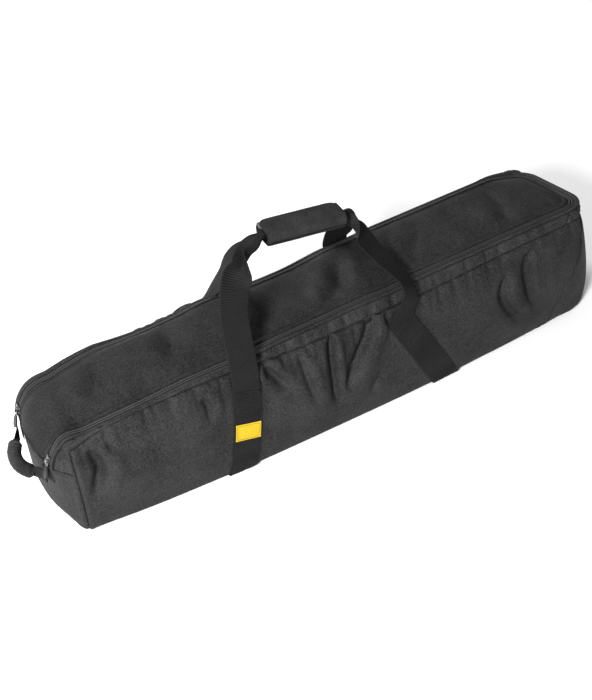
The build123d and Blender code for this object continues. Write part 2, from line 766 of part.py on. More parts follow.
with BuildPart() as front_seam_binding:
    binding_faces = []
    for station_x in (KNEE_X, RIGHT_CORNER_X):
        y, z = seam_at(station_x)
        plane = Plane.YZ.offset(station_x)
        low = -(y - CLOTH - GAP)
        binding_faces.append(rectangle(plane, low, low + 3.0, z - 7.0, z - 1.0))
    loft(sections=binding_faces, ruled=True)
front_seam_binding.part.label = "front_seam_binding"

with BuildPart() as rear_seam_binding:
    mirror(front_seam_binding.part, about=Plane.XZ)
rear_seam_binding.part.label = "rear_seam_binding"


pieces = [
    front_panel.part,
    rear_panel.part,
    base_panel.part,
    left_end_panel.part,
    right_end_panel.part,
    front_gusset.part,
    rear_gusset.part,
    right_end_gusset.part,
    lid_panel.part,
    lid_hinge_seam.part,
    zip_coil_body.part,
    zip_coil_lid.part,
    zip_tape_body.part,
    zip_tape_lid.part,
    zip_end_stops.part,
    front_slider.part,
    rear_slider.part,
    front_pull.part,
    rear_pull.part,
    front_pull_tab.part,
    rear_pull_tab.part,
    straps["left"],
    straps["right"],
    label.part,
    strap_box_stitches.part,
    front_handle.part,
    rear_handle.part,
    grip_pad.part,
    grip_flap.part,
    grip_flap_binding.part,
    grip_loop_patch.part,
    grip_hook_patch.part,
    end_handle_sleeve.part,
    end_handle_webbing.part,
    end_handle_anchors.part,
    front_seam_binding.part,
    rear_seam_binding.part,
]
for piece in pieces:
    export_step(piece, f"parts/{piece.label}.step")
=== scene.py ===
"""Looks of the long carry bag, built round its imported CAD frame.

Shape code works in millimetres and make_object() turns it into metres. +X runs
along the bag away from its end handle, the front is at -Y and +Z is up.
"""

import json
from math import cos, pi, radians, sin

import bpy
import numpy as np
from mathutils import Matrix, Vector
from mathutils.kdtree import KDTree


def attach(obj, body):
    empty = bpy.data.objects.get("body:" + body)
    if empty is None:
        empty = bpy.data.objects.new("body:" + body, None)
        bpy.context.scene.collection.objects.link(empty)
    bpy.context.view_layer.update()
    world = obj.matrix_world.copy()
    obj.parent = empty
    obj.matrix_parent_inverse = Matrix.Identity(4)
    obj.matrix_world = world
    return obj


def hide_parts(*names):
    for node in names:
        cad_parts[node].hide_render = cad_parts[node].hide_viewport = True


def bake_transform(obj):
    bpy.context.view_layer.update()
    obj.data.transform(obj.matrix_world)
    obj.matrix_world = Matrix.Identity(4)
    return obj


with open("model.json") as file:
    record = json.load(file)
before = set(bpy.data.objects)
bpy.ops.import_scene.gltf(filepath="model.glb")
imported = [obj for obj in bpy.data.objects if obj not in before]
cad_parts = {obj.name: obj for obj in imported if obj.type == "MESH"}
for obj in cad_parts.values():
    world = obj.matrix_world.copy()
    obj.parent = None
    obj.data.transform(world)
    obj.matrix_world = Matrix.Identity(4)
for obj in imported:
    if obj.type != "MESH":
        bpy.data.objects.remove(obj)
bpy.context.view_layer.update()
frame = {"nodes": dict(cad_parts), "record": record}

MM = 0.001
FRONT, REAR = -1, 1


# ---------------------------------------------------------------- materials


class Shader:
    """A node material that starts as one Principled shader."""

    def __init__(self, name, roughness, specular=0.5, sheen=0.0, metallic=0.0):
        self.material = bpy.data.materials.new(name)
        self.material.use_nodes = True
        self.nodes = self.material.node_tree.nodes
        self.links = self.material.node_tree.links
        self.shader = self.nodes["Principled BSDF"]
        self.shader.inputs["Roughness"].default_value = roughness
        self.shader.inputs["Specular IOR Level"].default_value = specular
        self.shader.inputs["Sheen Weight"].default_value = sheen
        self.shader.inputs["Sheen Roughness"].default_value = 0.5
        self.shader.inputs["Metallic"].default_value = metallic
        self.normal = None

    def add(self, kind, **values):
        node = self.nodes.new(kind)
        for key, value in values.items():
            setattr(node, key, value)
        return node

    def link(self, output, target):
        self.links.new(output, target)

    def uv(self):
        return self.add("ShaderNodeUVMap", uv_map="cloth_mm").outputs["UV"]

    def object_mm(self):
        scale = self.add("ShaderNodeVectorMath", operation="SCALE")
        scale.inputs["Scale"].default_value = 1 / MM
        self.link(self.add("ShaderNodeTexCoord").outputs["Object"], scale.inputs[0])
        return scale.outputs["Vector"]

    def noise(self, place, size, detail=3.0, roughness=0.55):
        """Noise whose blobs are about size mm across, 0 to 1."""
        node = self.add("ShaderNodeTexNoise")
        node.inputs["Scale"].default_value = 1 / size
        node.inputs["Detail"].default_value = detail
        node.inputs["Roughness"].default_value = roughness
        self.link(place, node.inputs["Vector"])
        return node.outputs["Fac"]

    def math(self, operation, *values):
        node = self.add("ShaderNodeMath", operation=operation)
        for socket, value in zip(node.inputs, values):
            if isinstance(value, (int, float)):
                socket.default_value = value
            else:
                self.link(value, socket)
        return node.outputs[0]

    def mix(self, *parts):
        """Weighted sum of (value, weight) pairs."""
        total = None
        for value, weight in parts:
            share = self.math("MULTIPLY", value, weight)
            total = share if total is None else self.math("ADD", total, share)
        return total

    def ridges(self, place, axis, pitch):
        """Rounded ridges across one axis of place, 0 to 1."""
        split = self.add("ShaderNodeSeparateXYZ")
        self.link(place, split.inputs[0])
        wave = self.math("SINE", self.math("MULTIPLY", split.outputs[axis], 2 * pi / pitch))
        return self.math("MULTIPLY_ADD", wave, 0.5, 0.5)

    def span(self, value, low, high, to_low, to_high):
        node = self.add("ShaderNodeMapRange")
        self.link(value, node.inputs["Value"])
        for key, number in zip(
            ("From Min", "From Max", "To Min", "To Max"), (low, high, to_low, to_high)
        ):
            node.inputs[key].default_value = number
        return node.outputs["Result"]

    def bump(self, height, depth):
        """Adds height, 0 to 1, as relief depth mm deep, on top of any before it."""
        node = self.add("ShaderNodeBump")
        node.inputs["Distance"].default_value = depth * MM
        node.inputs["Strength"].default_value = 1.0
        self.link(height, node.inputs["Height"])
        if self.normal is not None:
            self.link(self.normal, node.inputs["Normal"])
        self.normal = node.outputs["Normal"]
        self.link(self.normal, self.shader.inputs["Normal"])

    def colour(self, value, dark, light):
        """Base colour that goes from dark to light as value goes from 0 to 1."""
        ramp = self.add("ShaderNodeMix", data_type="RGBA")
        self.link(value, ramp.inputs["Factor"])
        ramp.inputs["A"].default_value = (*dark, 1)
        ramp.inputs["B"].default_value = (*light, 1)
        self.link(ramp.outputs["Result"], self.shader.inputs["Base Color"])

    def roughen(self, value, low, high):
        self.link(self.span(value, 0, 1, low, high), self.shader.inputs["Roughness"])


def woven(name, grey, pitch=1.3, relief=0.2, roughness=0.6, glint_share=0.5):
    """Coarse plain-weave polyester: crossed threads, slubs and soft mottling, with painted highlights:
    bright specks in the colour for the yarns' glints.
    """
    s = Shader(name, roughness, specular=0.08)
    uv = s.uv()
    place = s.object_mm()
    warp, weft = s.ridges(uv, 0, pitch), s.ridges(uv, 1, pitch)
    weave = s.math("MULTIPLY", warp, weft)
    slub = s.noise(uv, 2.2, 2.0)
    # Painted highlights: bright specks mixed into the base colour stand for the glints of the yarns; the
    # woven() argument after relief and roughness sets their share of the colour.
    painted_glints = s.span(s.noise(place, 2.4, 2.0, 0.7), 0.34, 0.68, 0.0, 1.0)
    mottle = s.span(s.noise(place, 60.0, 4.0), 0.3, 0.7, 0.0, 1.0)
    shade = s.mix((weave, 0.25), (painted_glints, glint_share), (mottle, 0.75 - glint_share))
    s.colour(shade, (grey * 0.05,) * 3, (grey * 2.6,) * 3)
    s.roughen(slub, roughness - 0.12, roughness + 0.12)
    s.bump(weave, relief)
    s.bump(slub, relief * 0.8)
    s.bump(s.noise(place, 9.0, 3.0), 0.4)
    return s.material


def ribbed(name, grey, pitch=3.4, relief=0.3, roughness=0.55):
    """Webbing: ribs across its width with a fine lengthwise grain."""
    s = Shader(name, roughness, specular=0.08)
    uv = s.uv()
    ribs = s.ridges(uv, 1, pitch)
    grain = s.ridges(uv, 0, 1.7)
    mottle = s.noise(s.object_mm(), 30.0, 3.0)
    fuzz = s.noise(uv, 1.4, 1.0)
    shade = s.mix((ribs, 0.35), (mottle, 0.3), (grain, 0.2), (fuzz, 0.15))
    s.colour(shade, (grey * 0.1,) * 3, (grey * 2.4,) * 3)
    s.roughen(mottle, roughness - 0.08, roughness + 0.12)
    s.bump(ribs, relief)
    s.bump(grain, relief * 0.5)
    return s.material


def moulded(name, grey, roughness=0.45):
    """Nylon or rubber with a fine uneven surface."""
    s = Shader(name, roughness, specular=0.3)
    place = s.object_mm()
    s.colour(s.noise(place, 4.0, 4.0), (grey * 0.7,) * 3, (grey * 1.3,) * 3)
    s.roughen(s.noise(place, 2.0, 3.0), roughness - 0.1, roughness + 0.15)
    s.bump(s.noise(place, 0.5, 2.0), 0.03)
    return s.material


def enamelled(name):
    """Dark zinc slider with its enamel worn through to bright metal in places."""
    s = Shader(name, 0.3, metallic=1.0)
    place = s.object_mm()
    wear = s.span(s.noise(place, 3.0, 4.0), 0.42, 0.62, 0.0, 1.0)
    s.colour(wear, (0.05, 0.05, 0.055), (0.6, 0.6, 0.62))
    s.roughen(wear, 0.42, 0.24)
    s.bump(s.noise(place, 0.8, 2.0), 0.04)
    return s.material


def satin_label(name):
    """Yellow satin weave, without lettering."""
    s = Shader(name, 0.6, specular=0.05)
    uv = s.uv()
    threads = s.math("MULTIPLY", s.ridges(uv, 0, 0.8), s.ridges(uv, 1, 0.5))
    mottle = s.noise(uv, 9.0, 3.0)
    shade = s.mix((threads, 0.4), (mottle, 0.6))
    s.colour(shade, (0.44, 0.29, 0.012), (0.64, 0.44, 0.03))
    s.roughen(mottle, 0.42, 0.6)
    s.bump(threads, 0.12)
    return s.material


def pile(name):
    """Hook and loop fuzz."""
    s = Shader(name, 0.85, specular=0.2, sheen=0.4)
    place = s.object_mm()
    fuzz = s.noise(place, 0.8, 4.0)
    s.colour(fuzz, (0.008,) * 3, (0.04,) * 3)
    s.bump(fuzz, 0.5)
    return s.material


MATERIALS = {
    "shell_fabric": woven("shell_weave", 0.0185),
    "base_fabric": woven("base_weave", 0.022),
    "gusset_fabric": woven("gusset_weave", 0.020),
    "lid_fabric": woven("lid_weave", 0.0138),
    "zip_tape": woven("zip_tape_weave", 0.012, pitch=0.9, relief=0.1),
    "zip_coil": moulded("zip_nylon", 0.025),
    "slider_metal": enamelled("slider_enamel"),
    "zip_stop_metal": enamelled("stop_metal"),
    "pull_tab_plastic": moulded("pull_rubber", 0.012),
    "webbing": ribbed("webbing_ribs", 0.0075),
    # The wrap's cloth takes a smaller share of the painted highlight specks.
    "wrap_fabric": woven("wrap_weave", 0.019, pitch=1.0, glint_share=0.25),
    "binding_tape": ribbed("binding_ribs", 0.010, pitch=1.2, relief=0.15),
    "hook_loop": pile("hook_pile"),
    "label_yellow": satin_label("label_satin"),
    "thread": moulded("thread_nylon", 0.014, 0.6),
}


# ------------------------------------------------------------- mesh helpers


def through(stops, count, dims=3):
    """count points, evenly spaced along a smooth curve through the stops."""
    p = np.array(stops, float)
    p = np.vstack([2 * p[0] - p[1], p, 2 * p[-1] - p[-2]])
    t = np.linspace(0, 1, 24, endpoint=False)[:, None]
    dense = []
    for a, b, c, d in zip(p, p[1:], p[2:], p[3:]):
        cubic = (c - a) + t * ((2 * a - 5 * b + 4 * c - d) + t * (3 * (b - c) + d - a))
        dense.append(b + 0.5 * t * cubic)
    dense = np.vstack([*dense, p[-2:-1]])
    along = run_length(dense[:, :dims])
    return sample(dense, along, np.linspace(0, along[-1], count))


def run_length(points):
    """Distance of each point along its line."""
    steps = np.linalg.norm(np.diff(points, axis=0), axis=1)
    return np.r_[0, np.cumsum(steps)]


def sample(values, along, at):
    """Rows of values at the distances at, where the rows given stand at the distances along."""
    return np.array([np.interp(at, along, column) for column in values.T]).T


def unit(vectors):
    return vectors / np.linalg.norm(vectors, axis=-1, keepdims=True)


def tangents(line):
    return unit(np.gradient(line, axis=0))


def bell(distance, width):
    """1 at no distance, falling smoothly to about a third at width."""
    return np.exp(-((distance / width) ** 2))


def ease(value, low, high):
    """0 up to low, 1 from high on and a smooth step between."""
    t = np.clip((value - low) / (high - low), 0, 1)
    return t * t * (3 - 2 * t)


def grid(rows, columns, wrap_rows=False, wrap_columns=False):
    """Quads of a grid as vertex numbers, and the same corners in its UV grid."""
    r, c = np.meshgrid(
        np.arange(rows - (not wrap_rows)), np.arange(columns - (not wrap_columns)), indexing="ij"
    )
    r, c = r.ravel(), c.ravel()
    corners = [(r, c), (r, c + 1), (r + 1, c + 1), (r + 1, c)]
    faces = np.array([(a % rows) * columns + b % columns for a, b in corners]).T
    uv_columns = columns + wrap_columns
    uv_corners = np.array([a * uv_columns + b for a, b in corners]).T
    return faces, uv_corners


def make_object(name, points, faces, uv=None, uv_corners=None, panels=None):
    """A mesh object from points in mm, with its cloth coordinates in mm as UVs."""
    mesh = bpy.data.meshes.new(name)
    mesh.from_pydata((np.asarray(points).reshape(-1, 3) * MM).tolist(), [], faces.tolist())
    if uv is not None:
        corners = faces if uv_corners is None else uv_corners
        layer = mesh.uv_layers.new(name="cloth_mm")
        flat = np.asarray(uv, np.float32).reshape(-1, 2)[np.asarray(corners).ravel()]
        layer.data.foreach_set("uv", flat.ravel())
    if panels is not None:
        mesh.polygons.foreach_set("material_index", np.asarray(panels, np.int32))
    mesh.polygons.foreach_set("use_smooth", np.ones(len(mesh.polygons), bool))
    mesh.update()
    found = bpy.data.objects.new(name, mesh)
    bpy.context.scene.collection.objects.link(found)
    return found


def coordinates(mesh):
    co = np.zeros(len(mesh.vertices) * 3, np.float32)
    mesh.vertices.foreach_get("co", co)
    return co.reshape(-1, 3).astype(float) / MM


def normals(mesh):
    no = np.zeros(len(mesh.vertices) * 3, np.float32)
    mesh.vertex_normals.foreach_get("vector", no)
    return no.reshape(-1, 3).astype(float)


def set_coordinates(mesh, points):
    mesh.vertices.foreach_set("co", (points * MM).astype(np.float32).ravel())
    mesh.update()


def bake_modifiers(piece):
    graph = bpy.context.evaluated_depsgraph_get()
    mesh = bpy.data.meshes.new_from_object(
        piece.evaluated_get(graph), preserve_all_data_layers=True, depsgraph=graph
    )
    piece.modifiers.clear()
    piece.data = mesh
    return mesh


def smoother(piece, levels=1):
    modifier = piece.modifiers.new("smooth", "SUBSURF")
    modifier.levels = modifier.render_levels = levels
    bake_modifiers(piece)


def thicken(piece, thickness, offset=-1.0):
    modifier = piece.modifiers.new("thickness", "SOLIDIFY")
    modifier.thickness = thickness * MM
    modifier.offset = offset
    modifier.use_even_offset = False
    bake_modifiers(piece)


def place(piece, slot, bodies, replaced=()):
    """Gives a finished piece its material, attaches it to its body when bodies names one (else only
    bakes its transform) and hides the CAD nodes it replaces.
    """
    piece.data.materials.clear()
    piece.data.materials.append(MATERIALS[slot])
    if isinstance(bodies, str):
        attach(piece, bodies)
    else:
        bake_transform(piece)
    if replaced:
        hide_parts(*replaced)
    return piece


def lay(name, points, uv, slot, bodies, replaced=(), wraps=(False, False), thickness=0.0, levels=0):
    """A piece from one grid of points, rows by columns by 3."""
    faces, uv_corners = grid(points.shape[0], points.shape[1], *wraps)
    piece = make_object(name, points, faces, uv, uv_corners)
    if levels:
        smoother(piece, levels)
    if thickness:
        thicken(piece, thickness)
    return place(piece, slot, bodies, replaced)


def join_parts(name, parts):
    """One object from several (points, faces) shells."""
    points, faces, count = [], [], 0
    for shell, quads in parts:
        shell = np.asarray(shell, float).reshape(-1, 3)
        points.append(shell)
        faces.append(np.asarray(quads) + count)
        count += len(shell)
    points, faces = np.vstack(points), np.vstack(faces)
    return make_object(name, points, faces, points[:, :2], faces)


THREAD_SIDES = 6


def stitch(start, end, normal, width=0.55, height=0.4):
    """One raised thread from start to end, as a small closed lens shape."""
    start, end, normal = (np.asarray(v, float) for v in (start, end, normal))
    along = end - start
    side = np.cross(along, normal)
    side *= width / 2 / np.linalg.norm(side)
    rings = []
    for share, size in ((0.0, 0.25), (0.2, 0.9), (0.8, 0.9), (1.0, 0.25)):
        centre = start + along * share
        for turn in range(THREAD_SIDES):
            a = 2 * pi * turn / THREAD_SIDES
            rings.append(centre + side * cos(a) * size + normal * sin(a) * size * height)
    faces = []
    for ring in range(3):
        for turn in range(THREAD_SIDES):
            a, b = ring * THREAD_SIDES + turn, ring * THREAD_SIDES + (turn + 1) % THREAD_SIDES
            faces.append((a, b, b + THREAD_SIDES, a + THREAD_SIDES))
    for first in (0, 3 * THREAD_SIDES):
        faces.append((first, first + 1, first + 2, first + 3))
        faces.append((first, first + 3, first + 4, first + 5))
    return np.array(rings), np.array(faces)


def stitches_along(line, normal, pitch=3.4, share=0.7, lift=0.1):
    """Threads spaced along a line; normal is one vector or one for each point."""
    line = np.asarray(line, float)
    normal = np.broadcast_to(np.asarray(normal, float), line.shape)
    along = run_length(line)
    count = max(1, int(along[-1] / pitch))
    starts = (np.arange(count) + (1 - share) / 2) * along[-1] / count
    ends = starts + share * along[-1] / count
    up = unit(sample(normal, along, (starts + ends) / 2))
    first, last = sample(line, along, starts), sample(line, along, ends)
    return [stitch(a + n * lift, b + n * lift, n) for a, b, n in zip(first, last, up)]


def lumps(points, size, seed, waves=14):
    """Smooth random height at each point, about -1 to 1, in lumps about size mm across."""
    random = np.random.default_rng(seed)
    direction = unit(random.normal(size=(waves, 3)))
    pace = 2 * pi / size * random.uniform(0.5, 1.3, waves)
    phase = random.uniform(0, 2 * pi, waves)
    flat = np.cos(points.reshape(-1, 3) @ (direction * pace[:, None]).T + phase)
    return (flat.mean(axis=1) * 2.0).reshape(points.shape[:-1])


def uneven(points, layers, start=0):
    """start plus layers of lumps, each (height, size, seed)."""
    return sum((height * lumps(points, size, seed) for height, size, seed in layers), start)


def sheet_normals(middle):
    """Unit normals of a grid of points."""
    across = np.gradient(middle, axis=1)
    along = np.gradient(middle, axis=0)
    found = np.cross(across, along)
    return found / np.maximum(np.linalg.norm(found, axis=2), 1e-9)[..., None]


def slab(name, middle, above, below, slot, bodies, replaced=(), levels=0, uv=None):
    """A closed piece: a grid of points made as thick as above and below it say, in mm."""
    rows, columns = middle.shape[:2]
    normal = sheet_normals(middle)
    above = np.broadcast_to(above, (rows, columns))[..., None]
    below = np.broadcast_to(below, (rows, columns))[..., None]
    points = np.stack([middle + normal * above, middle - normal * below])
    faces, _ = grid(rows, columns)
    count = rows * columns
    number = np.arange(count).reshape(rows, columns)
    rims = []
    edges = ((number[0], False), (number[-1], True), (number[:, 0], True), (number[:, -1], False))
    for edge, turned in edges:
        a, b = edge[:-1], edge[1:]
        loop = [a, a + count, b + count, b]
        rims.append(np.array(loop[::-1] if turned else loop).T)
    every = np.vstack([faces, faces[:, ::-1] + count, *rims])
    flat = grid_uv(middle) if uv is None else uv
    piece = make_object(name, points, every, np.stack([flat, flat]), every)
    if levels:
        smoother(piece, levels)
    return place(piece, slot, bodies, replaced)


# -------------------------------------------------------------- body surface

CLOTH = 1.6
LEFT_X, KNEE_X, RIGHT_X = -434.0, -326.0, 422.0
END_STRAIGHT = 38.0
BASE_Z, END_TOP_Z = 2.6, 118.0
# Half the base's width at each x
HALF_WIDTHS = (
    (-434, 97),
    (-326, 107.5),
    (-190, 113.6),
    (-60, 117),
    (90, 117),
    (215, 113.6),
    (330, 110.5),
    (422, 104),
)
ARC_X, ARC_Z, ARC_R, ARC_ZIP_Y = -396.0, 118.0, 60.0, 56.0
ZIP_Y, TAPE_EDGE = 64.0, 10.0
KNEE_ZIP_Z, RIGHT_ZIP_Z = 189.0, 200.0
# The arc runs from ARC_FOOT to ARC_TOP, in degrees from straight up
ARC_FOOT, ARC_TOP = 86, 10.0
CORNER_R = 26.0
REAR_DROP, REAR_LIFT, REAR_TILT = 8.0, 12.0, 0.6
LEFT_DROP = 15.0
END_SLUMP, END_STRETCH = 15.0, 13.0
FULL_REACH, SEAM_REACH = 499.0, 470.0
# x of each strap at the foot of the wall and at its top
STRAPS = {"left_body_strap": (-195.0, -169.0), "right_body_strap": (192.0, 104.0)}


def half_width(x):
    """Half the width of the bag at x, at its base."""
    table = through(HALF_WIDTHS, 200, dims=1)
    return np.interp(x, table[:, 0], table[:, 1])


def seam_z(x, rear=False):
    """Height of the seam that joins wall and gusset."""
    left = 13 * ease(x, LEFT_X, LEFT_X + 50) * (1 - ease(x, -260, -60))
    low = -8 * (1 - ease(x, 0, 140)) - 6 * (1 - ease(x, LEFT_X, KNEE_X)) + 6 * bell(x + 155, 60)
    right = 15 * ease(x, 60, RIGHT_X)
    return 162 + np.where(rear, low, left) + 10 * ease(x, LEFT_X, KNEE_X) + right


def seam_y(x):
    """Distance of that seam from the bag's middle plane."""
    return 82.5 + 1.0 * ease(x, LEFT_X, KNEE_X)


def zip_sag(x):
    """The zip dips under the handles and between them, and rides up to the right."""
    return -7 * bell(x + 165, 60) - 4 * bell(x + 40, 110) - 3 * bell(x - 96, 30) + 2 * ease(x, 150, 380)


# Section of the wall: (inset, height, share of the lean towards the seam)
WALL_SECTION = (
    (20.0, 0.0, 0.0),
    (9.0, 0.2, 0.0),
    (2.5, 1.0, 0.0),
    (0.2, 3.6, 0.0),
    (-0.6, 9.0, 0.0),
    (-0.8, 24.0, 0.0),
    (-1.2, 48.0, 0.02),
    (-2.4, 80.0, 0.20),
    (-2.4, 112.0, 0.46),
    (-1.6, 140.0, 0.74),
    (0.0, 163.7, 1.0),
)
SECTION_TOP = WALL_SECTION[-1][1]
SECTION = through(WALL_SECTION, 200, dims=2)
SECTION_RUN = run_length(SECTION[:, :2])

SIDE_RUN = RIGHT_X - LEFT_X
CORNER_RUN = 112.0
# Below 1 the corners of the plan are squarer than an ellipse
CORNER_SQUARE = 0.72
END_RUN = 2 * END_STRAIGHT
PLAN_RUN = 2 * (SIDE_RUN + CORNER_RUN) + END_RUN
# The right end's seams leave the base here and lean over towards the end
DIAGONAL_FOOT = 378.0 - LEFT_X
DIAGONAL_LEAN = 100.0
DIAGONAL_SPREAD = 135.0


def section_at(share):
    """Inset, height and lean at a share of the way up the wall."""
    at = np.asarray(share) * SECTION_RUN[-1]
    return [np.interp(at, SECTION_RUN, SECTION[:, k]) for k in range(3)]


def leaning(s, t):
    """Plan distance of wall column s at share t: columns lean along the end seams."""
    t = np.clip((t - 0.08) / 0.92, 0, 1)
    foot = DIAGONAL_LEAN * t
    return (
        s
        + foot * bell(s - DIAGONAL_FOOT, DIAGONAL_SPREAD)
        - foot * bell(PLAN_RUN - s - DIAGONAL_FOOT, DIAGONAL_SPREAD)
    )


def wall(s, t):
    """Point of the wall at plan distance s from the front left corner, share t up."""
    s, t = np.broadcast_arrays(np.asarray(s, float), np.asarray(t, float))
    inset, height, lean = section_at(t)
    mirrored = s > PLAN_RUN / 2
    d = np.where(mirrored, PLAN_RUN - s, s)
    angle = np.clip((d - SIDE_RUN) / CORNER_RUN, 0, 1) * pi / 2
    x_side = np.minimum(LEFT_X + d, RIGHT_X)
    y_out = half_width(x_side) - inset
    y_out = y_out - lean * (half_width(x_side) - seam_y(x_side))
    reach = FULL_REACH - inset - lean * (FULL_REACH - SEAM_REACH)
    x = x_side + (reach - RIGHT_X) * np.sin(angle) ** CORNER_SQUARE
    y_round = END_STRAIGHT + (y_out - END_STRAIGHT) * np.cos(angle) ** CORNER_SQUARE
    y = np.where(angle > 0, y_round, y_out)
    y = np.where(d > SIDE_RUN + CORNER_RUN, END_STRAIGHT - (d - SIDE_RUN - CORNER_RUN), y)
    y = np.where(mirrored, y, -y)
    slump = END_SLUMP * np.sin(angle) ** 2 * np.clip((y / ZIP_Y + 1) / 2, 0, 1)
    rise = seam_z(x_side, mirrored) - slump - BASE_Z
    return np.stack([x, y, BASE_Z + height * rise / SECTION_TOP], axis=-1)


def arc_point(angle, u, w, side):
    """Point beside the zip's left arc: u away from the lid, w out of the surface."""
    a = np.radians(angle)
    r = ARC_R + w
    return np.stack(
        [ARC_X - r * np.sin(a), side * (ARC_ZIP_Y + u) + 0 * a, ARC_Z + r * np.cos(a)], axis=-1
    )


ARC_TOP_X = ARC_X - ARC_R * sin(radians(ARC_TOP))


ARC_RUN = radians(ARC_FOOT - ARC_TOP) * ARC_R
KNEE_RUN = KNEE_X - ARC_TOP_X
LONG_RUN = RIGHT_X - KNEE_X
ZIP_CORNER_RUN = CORNER_R * pi / 2
ZIP_TOTAL = 2 * (ARC_RUN + KNEE_RUN + LONG_RUN + ZIP_CORNER_RUN + ZIP_Y - CORNER_R)


def half_zip(d, u, w):
    """Point beside the rear half of a symmetric, unworn zip, d mm from the arc's foot."""
    on_arc = arc_point(ARC_FOOT - np.degrees(np.clip(d, 0, ARC_RUN) / ARC_R), u, w, 1.0)
    past_arc = d - ARC_RUN
    k = np.clip(past_arc / KNEE_RUN, 0, 1)
    top = arc_point(np.full_like(d, ARC_TOP), u, w, 1.0)
    knee = np.stack([0 * d + KNEE_X, ZIP_Y + u, KNEE_ZIP_Z + w + zip_sag(KNEE_X)], axis=-1)
    rise = 4 * (k * (1 - k))
    slope = top + (knee - top) * k[..., None] + np.stack([0 * k, 0 * k, rise], axis=-1)
    past_knee = np.clip(past_arc - KNEE_RUN, 0, LONG_RUN)
    x = KNEE_X + past_knee
    z = KNEE_ZIP_Z + (RIGHT_ZIP_Z - KNEE_ZIP_Z) * past_knee / LONG_RUN + zip_sag(x)
    level = np.stack([x, ZIP_Y + u, z + w], axis=-1)
    past_long = past_arc - KNEE_RUN - LONG_RUN
    a = np.clip(past_long / ZIP_CORNER_RUN, 0, 1) * pi / 2
    z_end = RIGHT_ZIP_Z + zip_sag(RIGHT_X)
    ring = CORNER_R + u
    corner = np.stack(
        [RIGHT_X + ring * np.sin(a), ZIP_Y - CORNER_R + ring * np.cos(a), z_end + w], axis=-1
    )
    past_corner = past_long - ZIP_CORNER_RUN
    found = np.stack([RIGHT_X + CORNER_R + u, ZIP_Y - CORNER_R - past_corner, z_end + w], axis=-1)
    for before, value in (
        (past_corner < 0, corner),
        (past_long < 0, level),
        (past_arc < KNEE_RUN, slope),
        (past_arc < 0, on_arc),
    ):
        found = np.where(before[..., None], value, found)
    return found


def zip_point(q, u, w):
    """Point beside the zip, q mm along it from the foot of the arc's front end.

    u is the distance outwards from the zip's middle, w upwards. The soft bag lets the
    rear zip line drop and tilt, the left end sink, and the right end slump and stretch.
    """
    q, u, w = np.broadcast_arrays(*(np.asarray(v, float) for v in (q, u, w)))
    mirrored = q > ZIP_TOTAL / 2
    found = half_zip(np.where(mirrored, ZIP_TOTAL - q, q), u, w)
    x = found[..., 0]
    middle = ease(x, KNEE_X - 60, KNEE_X + 80) * (1 - ease(x, RIGHT_X - 70, RIGHT_X + 10))
    drop = REAR_DROP * (1 - ease(x, -20, 90)) - REAR_LIFT * bell(x + 155, 50)
    found[..., 2] -= np.where(mirrored, (drop + REAR_TILT * u) * middle, 0)
    left = ease(x, -440, -398) * (1 - ease(x, -370, -110))
    found[..., 2] -= np.where(mirrored, 0.5, 1.0) * LEFT_DROP * left
    found[..., 1] *= np.where(mirrored, 1, -1)
    rearward = np.clip((found[..., 1] / ZIP_Y + 1) / 2, 0, 1)
    stretch = ease(x, RIGHT_X - 50, RIGHT_X + CORNER_R)
    found[..., 2] -= END_SLUMP * stretch * rearward
    found[..., 0] += END_STRETCH * stretch * (1 - rearward)
    return found


# Creases of the long walls, as (x, z) lines with their depth and half width
FRONT_CREASES = (
    (((-409, 156), (-398, 118), (-417, 66)), 5.0, 10.0),
    (((-384, 160), (-370, 142)), 2.5, 5.0),
    (((-236, 164), (-228, 142), (-232, 120)), 3.5, 6.0),
    (((-156, 164), (-141, 136)), 4.0, 6.0),
    (((-132, 164), (-100, 118)), 4.5, 7.0),
    (((-76, 168), (-70, 125), (-60, 66)), 3.5, 6.0),
    (((-20, 172), (-28, 124), (-26, 50)), 6.0, 5.5),
    (((58, 174), (32, 135), (-22, 74)), 5.5, 10.0),
    (((60, 66), (48, 70), (30, 52)), 2.0, 6.0),
    (((357, 176), (337, 140), (350, 62)), 4.5, 8.0),
    (((300, 152), (290, 115), (305, 80), (336, 42)), 5.5, 9.0),
)
REAR_CREASES = (
    (((-402, 150), (-396, 110), (-414, 70)), 5.0, 8.0),
    (((-300, 166), (-306, 128), (-292, 92)), 4.0, 7.0),
    (((-232, 164), (-224, 134)), 3.5, 6.0),
    (((-118, 166), (-88, 112)), 4.5, 7.0),
    (((-34, 170), (-30, 118), (-44, 58)), 5.5, 6.5),
    (((40, 172), (62, 128), (54, 80)), 5.0, 8.0),
    (((236, 170), (252, 128), (240, 84)), 5.0, 7.0),
    (((330, 174), (316, 130), (338, 66)), 5.5, 8.0),
)
CREASE_DEPTH = 2.4
# The long walls' creases reach only points beyond this y and short of this x
CREASED_Y, CREASED_X = 60, 460


def crease_push(points, creases):
    """Outward push of a wall's points: each crease a valley with a rounded ridge beside it."""
    push = np.zeros(len(points))
    for line, depth, width in creases:
        line = through(line, 40, dims=2)
        gap = points[:, None, :] - line[None]
        apart = np.linalg.norm(gap, axis=2)
        nearest = apart.argmin(axis=1)
        near = apart[np.arange(len(points)), nearest]
        ahead = np.gradient(line, axis=0)[nearest]
        to_point = gap[np.arange(len(points)), nearest]
        side = np.sign(ahead[:, 0] * to_point[:, 1] - ahead[:, 1] * to_point[:, 0])
        along = nearest / (len(line) - 1)
        fade = ease(along, -0.02, 0.16) * (1 - 0.85 * ease(along, 0.65, 1.0))
        spread = width * (0.9 + 0.6 * along)
        fold = 0.6 * bell(near, 1.5 * spread) + 0.5 * np.exp(-2 * near / spread)
        valley = -CREASE_DEPTH * depth * fold
        ridge = 0.5 * CREASE_DEPTH * depth * bell(near - 1.9 * width, 1.3 * width) * (1 + 0.7 * side)
        push += fade * (valley + ridge)
    return push


